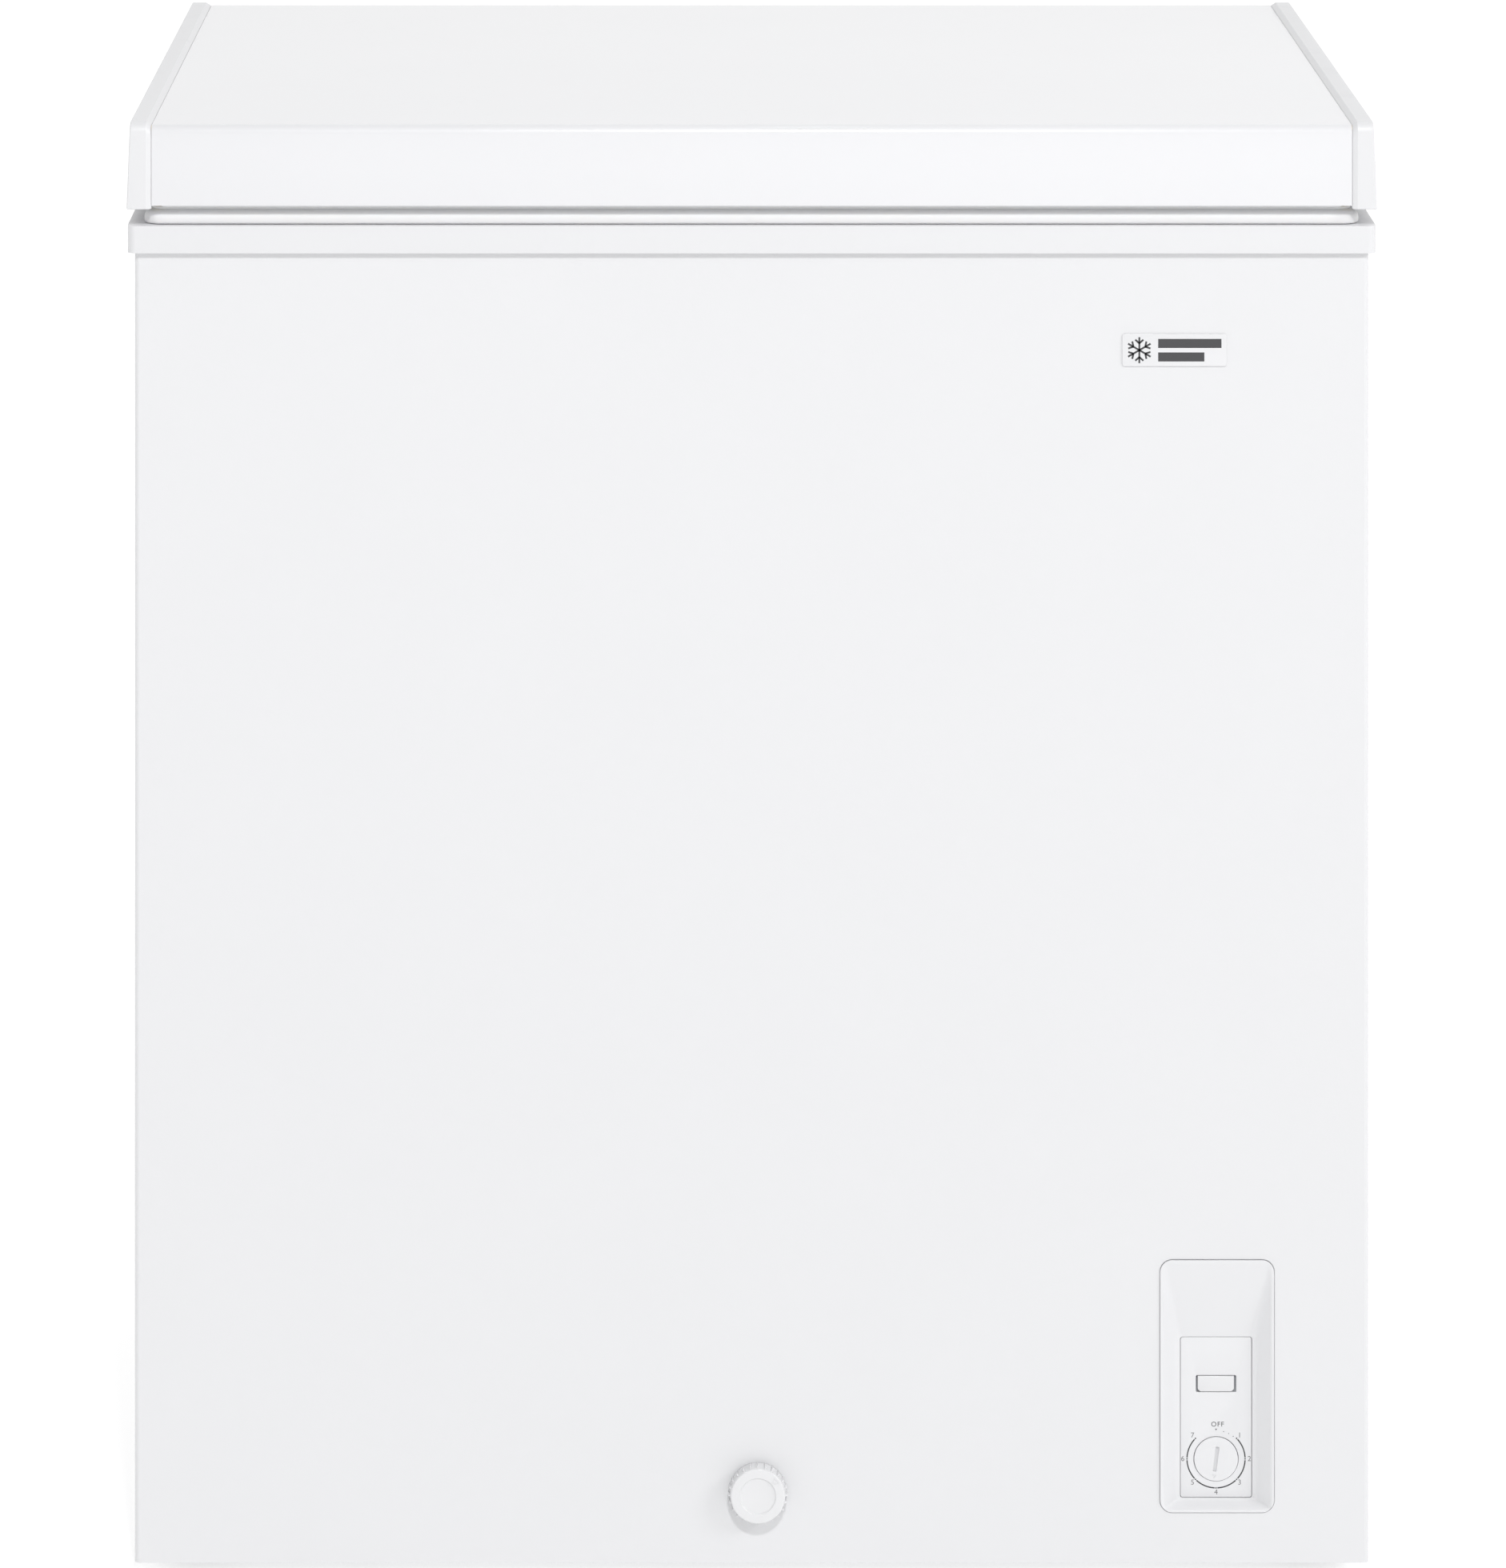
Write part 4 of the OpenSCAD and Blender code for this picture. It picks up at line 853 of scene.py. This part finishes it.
def dial_plate():
    """Flat plate with a round hole for the knob and a window for the lens."""
    lens_lo, lens_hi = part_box("lamp_lens")
    piece = slab("dial_plate", PLATE_LO, PLATE_HI, 1, 1.5 * MM)
    hole = (KNOB_HI.x - KNOB_LO.x) / 2 + 0.32 * MM
    cut(piece,
        drum("hole", (KNOB_AT.x, PLATE_LO.y - MM, KNOB_AT.z), (KNOB_AT.x, PLATE_HI.y + MM, KNOB_AT.z),
             hole, 96),
        slab("window", (lens_lo.x, PLATE_LO.y - MM, lens_lo.z), (lens_hi.x, PLATE_HI.y + MM, lens_hi.z),
             1, 0.8 * MM))
    soften(piece, 0.3 * MM, 3, 50)
    return settle(piece, "cabinet", panel_plastic, "white_plastic", "control_plate")


def light_window():
    """Lens of the power light: a raised bar with chamfered lower corners, and a seat behind it
    coloured dark grey as painted shade, so the gaps at its ends show as dark slits."""
    lo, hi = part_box("lamp_lens")
    slit = 1.05 * MM
    seat = block("light_seat_painted_shade", (lo.x, PLATE_FACE + 1.6 * MM, lo.z), hi)
    terrace(seat, (0, -1, 0), (0.4 * MM, -0.2 * MM))
    # The seat's dark grey is painted shade for the gaps beside the lens.
    settle(seat, "cabinet", grey_plastic, "grey_plastic", "lamp_lens")
    bar = block("light_window", (lo.x + slit, lo.y, lo.z + 0.45 * MM),
                (hi.x - slit * 1.25, hi.y - 0.8 * MM, hi.z - 0.35 * MM))
    with shaping(bar):
        pick_edges(bar, lambda a, b: abs(a.y - b.y) > MM and max(a.z, b.z) < lo.z + MM)
        bpy.ops.mesh.bevel(offset=1.5 * MM, segments=1, affect="EDGES")
    soften(bar, 0.4 * MM, 3, 30)
    return settle(bar, "cabinet", lens_white, "lens_grey", "lamp_lens")


DIAL_REST = math.radians(187)


def dial_knob():
    """Flush disc with a coin slot and a small arrow at its pointing end."""
    radius = (KNOB_HI.x - KNOB_LO.x) / 2
    front = KNOB_LO.y
    piece = drum("dial_knob", (KNOB_AT.x, front, KNOB_AT.z), (KNOB_AT.x, front + 3.6 * MM, KNOB_AT.z),
                 radius, 96)
    terrace(piece, (0, -1, 0), (0.8 * MM, 0), (5 * MM, 0))
    slot = slab("slot", (KNOB_AT.x - 1.1 * MM, front - MM, KNOB_AT.z - 7.2 * MM),
                (KNOB_AT.x + 1.1 * MM, front + 1.5 * MM, KNOB_AT.z + 7.4 * MM), 1, 0.5 * MM, 4)
    arrow = drum("arrow", (KNOB_AT.x, front - MM, KNOB_AT.z + 10 * MM),
                 (KNOB_AT.x, front + 0.35 * MM, KNOB_AT.z + 10 * MM), 1.3 * MM, 3)
    for tool in (slot, arrow):
        turned(tool, DIAL_REST, "Y", KNOB_AT)
    cut(piece, slot, arrow)
    hub = drum("hub", (KNOB_AT.x, front + 3 * MM, KNOB_AT.z), (KNOB_AT.x, KNOB_HI.y, KNOB_AT.z),
               6.5 * MM, 48)
    soften(piece, 0.3 * MM, 3, 50)
    return settle(joined(piece, [hub]), "knob", panel_plastic, "white_plastic", "thermostat_knob")


INK_LIFT = 0.03 * MM
ARC_R = 17 * MM


def on_dial(radius, clock, lift=0.0):
    """A place on the plate, by its distance from the knob and its angle from the top."""
    return Vector((KNOB_AT.x + radius * math.sin(clock), PLATE_FACE - lift,
                   KNOB_AT.z + radius * math.cos(clock)))


def printed_arc(start, end):
    """A printed stroke round the knob between two angles from the top."""
    stroke = 0.75 * MM
    clear()
    bpy.ops.mesh.primitive_plane_add(size=1)
    piece = bpy.context.object
    with shaping(piece):
        pick_corners(piece, lambda c: c.y > 0)
        bpy.ops.mesh.delete(type="VERT")
    inner, outer = (on_dial(ARC_R + step, start, INK_LIFT) for step in (-stroke / 2, stroke / 2))
    for corner, place in zip(piece.data.vertices, (inner, outer)):
        corner.co = place
    with shaping(piece):
        bpy.ops.mesh.select_all(action="SELECT")
        bpy.ops.mesh.spin(steps=14, angle=start - end, center=KNOB_AT, axis=(0, 1, 0))
    return piece


def printed_words(words, height, middle):
    """Printed lettering on the plate, as a mesh."""
    clear()
    bpy.ops.object.text_add(rotation=(math.pi / 2, 0, 0))
    piece = bpy.context.object
    piece.data.body = words
    piece.data.size = height / 0.7
    piece.data.space_character = 1.15
    piece.data.align_x = "CENTER"
    piece.data.align_y = "CENTER"
    bpy.ops.object.convert(target="MESH")
    piece = bpy.context.object
    piece.location = middle
    return bake_place(piece)


def printed_dot(middle, radius, sides=16):
    """A flat printed spot. With three sides it is a triangle."""
    clear()
    bpy.ops.mesh.primitive_circle_add(vertices=sides, radius=radius, fill_type="NGON")
    piece = bpy.context.object
    piece.rotation_euler = (math.pi / 2, 0, 0)
    piece.location = middle
    return bake_place(piece)


def thickened(piece, name, material):
    """Gives flat print its film thickness and fastens it to the cabinet."""
    piece.name = name
    modified(piece, "SOLIDIFY", thickness=INK_LIFT * 0.9, offset=0)
    outward(piece)
    return settle(piece, "cabinet", material, "grey_plastic")


def dial_print():
    """Scale round the knob: strokes and dots, numbers 1 to 7, OFF with its mark and lead-in dots."""
    step = math.radians(45)
    gap = math.radians(2.7)
    dark = [printed_arc(k * step + gap, (k + 1) * step - gap) for k in range(1, 7)]
    dark += [printed_dot(on_dial(ARC_R, k * step, INK_LIFT), 0.45 * MM) for k in range(1, 8)]
    mark = printed_dot(on_dial(ARC_R + 0.3 * MM, 0, INK_LIFT), 0.65 * MM, 3)
    turned(mark, math.pi, "Y", on_dial(ARC_R + 0.3 * MM, 0))
    dark.append(mark)
    thickened(joined(dark[0], dark[1:]), "dial_strokes", ink_dark)
    pale = [printed_words(str(k), 3 * MM, on_dial(19.5 * MM, k * step, INK_LIFT)) for k in range(1, 8)]
    pale += [printed_dot(on_dial(16.6 * MM, math.radians(a), INK_LIFT), 0.28 * MM)
             for a in (15.5, 26.4, 37.2)]
    thickened(joined(pale[0], pale[1:]), "dial_numbers", ink_pale)
    thickened(printed_words("OFF", 2.8 * MM, on_dial(20.2 * MM, math.radians(2.5), INK_LIFT)), "dial_off",
              ink_dark)


# ---- drain ----

def drain_knob():
    """Knurled cap of the drain, with a shallow recess and a small raised mark."""
    lo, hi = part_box("drain_cap")
    middle = (lo + hi) / 2
    front, back = lo.y + 0.4 * MM, hi.y
    radius = (hi.x - lo.x) / 2
    face_r = radius - 1.4 * MM
    piece = drum("drain_knob", (middle.x, front, middle.z), (middle.x, back, middle.z), face_r, 96)
    with shaping(piece):
        pick_faces(piece, lambda centre, normal: normal.y > 0.99)
        bpy.ops.transform.resize(value=(1.045, 1, 1.045), center_override=(middle.x, back, middle.z))
    with shaping(piece):
        pick_edges(piece, lambda a, b: max(a.y, b.y) < front + 0.1 * MM)
        bpy.ops.mesh.bevel(offset=0.8 * MM, segments=4, affect="EDGES")
    terrace(piece, (0, -1, 0), (face_r - 0.8 * MM - 11 * MM, 0), (0.25 * MM, 0), (0.7 * MM, -0.7 * MM),
            (0.5 * MM, -0.1 * MM))
    terrace(piece, (0, 1, 0), (face_r * 1.045 - 10.2 * MM, 0), (0, -5.5 * MM))
    ribs = []
    for k in range(24):
        rib = block("rib", (middle.x - 0.55 * MM, front + 1.3 * MM, middle.z + face_r - 1.2 * MM),
                    (middle.x + 0.55 * MM, back - 0.8 * MM, middle.z + radius))
        with shaping(rib):
            pick_faces(rib, lambda centre, normal: normal.z > 0.9)
            bpy.ops.transform.resize(value=(0.55, 0.92, 1), center_override=(middle.x, back, middle.z))
        ribs.append(turned(soften(rib, 0.2 * MM, 2), k * math.tau / 24, "Y", middle))
    mark_at = (middle.x, front + 0.1 * MM, middle.z + 13.4 * MM)
    mark = drum("mark", mark_at, (middle.x, front - 0.25 * MM, middle.z + 13.4 * MM), 2.5 * MM, 3)
    terrace(mark, (0, -1, 0), (0.4 * MM, 0), (0.15 * MM, -0.2 * MM))
    turned(mark, math.pi, "Y", mark_at)
    ribs.append(turned(mark, math.radians(50), "Y", middle))
    return settle(joined(piece, ribs), "drain_cap", drain_plastic, "white_plastic", "drain_cap")


# ---- hinges ----

def hinge_coil(name):
    """Counterbalance spring: one round wire wound in a helix with closed ends."""
    lo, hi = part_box(name)
    axis = (lo + hi) / 2
    wire = 1.4 * MM
    radius = (hi.x - lo.x) / 2 - wire
    turns = 9
    clear()
    bpy.ops.mesh.primitive_circle_add(vertices=14, radius=wire, rotation=(math.pi / 2, 0, 0))
    piece = bpy.context.object
    piece.name = name.replace("hinge_spring", "hinge_coil")
    bake_place(piece)
    piece.data.transform(Matrix.Translation((radius, 0, 0)))
    modified(piece, "SCREW", angle=math.tau, screw_offset=(hi.z - lo.z - 2 * wire) / turns,
             iterations=turns, steps=40, render_steps=40, use_merge_vertices=True)
    piece.location = (axis.x, axis.y, lo.z + wire)
    bake_place(piece)
    with shaping(piece):
        bpy.ops.mesh.select_mode(type="EDGE")
        bpy.ops.mesh.select_non_manifold()
        bpy.ops.mesh.fill_holes(sides=0)
    outward(piece)
    settle(piece, "cabinet", spring_wire, "spring_steel", name, fasten=False)
    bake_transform(piece)
    return piece


# ---- nameplate ----

def name_badge():
    """Plain white plate with a printed snow crystal and two rules."""
    lo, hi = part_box("nameplate")
    piece = slab("name_badge", lo, hi, 1, 1.5 * MM)
    soften(piece, 0.3 * MM, 3, 50)
    settle(piece, "cabinet", cabinet_paint, "white_plastic", "nameplate")
    face = lo.y - INK_LIFT
    heart = Vector((lo.x + 10 * MM, face, (lo.z + hi.z) / 2))
    stroke = 1.1 * MM

    def bar(x0, x1, z0, z1):
        return block("bar", (x0, face, z0), (x1, face + INK_LIFT, z1))

    bars = []
    for k in range(6):
        arm = [bar(heart.x - stroke / 2, heart.x + stroke / 2, heart.z, heart.z + 7.6 * MM)]
        for lean in (-1, 1):
            twig = bar(heart.x - stroke / 2, heart.x + stroke / 2, heart.z + 4 * MM, heart.z + 7.2 * MM)
            arm.append(turned(twig, lean * math.radians(48), "Y",
                              (heart.x, face, heart.z + 4 * MM)))
        bars += [turned(each, k * math.radians(60), "Y", heart) for each in arm]
    bars.append(bar(lo.x + 21 * MM, hi.x - 3 * MM, heart.z + 1.3 * MM, heart.z + 6.6 * MM))
    bars.append(bar(lo.x + 21 * MM, hi.x - 13 * MM, heart.z - 6.6 * MM, heart.z - 1.3 * MM))
    ink = joined(bars[0], bars[1:])
    ink.name = "badge_print"
    settle(ink, "cabinet", ink_dark, "grey_plastic")


set_camera()
set_studio()
finish_frame()
lid_sheet()
for cap_side, cap_name in ((-1, "lid_end_cap_left"), (1, "lid_end_cap_right")):
    end_cap(cap_side, cap_name)
lid_liner()
gasket_ring()
opening_frame()
back_sheet()
dial_bezel()
dial_plate()
light_window()
dial_knob()
dial_print()
drain_knob()
for coil_side in ("left", "right"):
    hinge_coil("hinge_spring_" + coil_side)
name_badge()
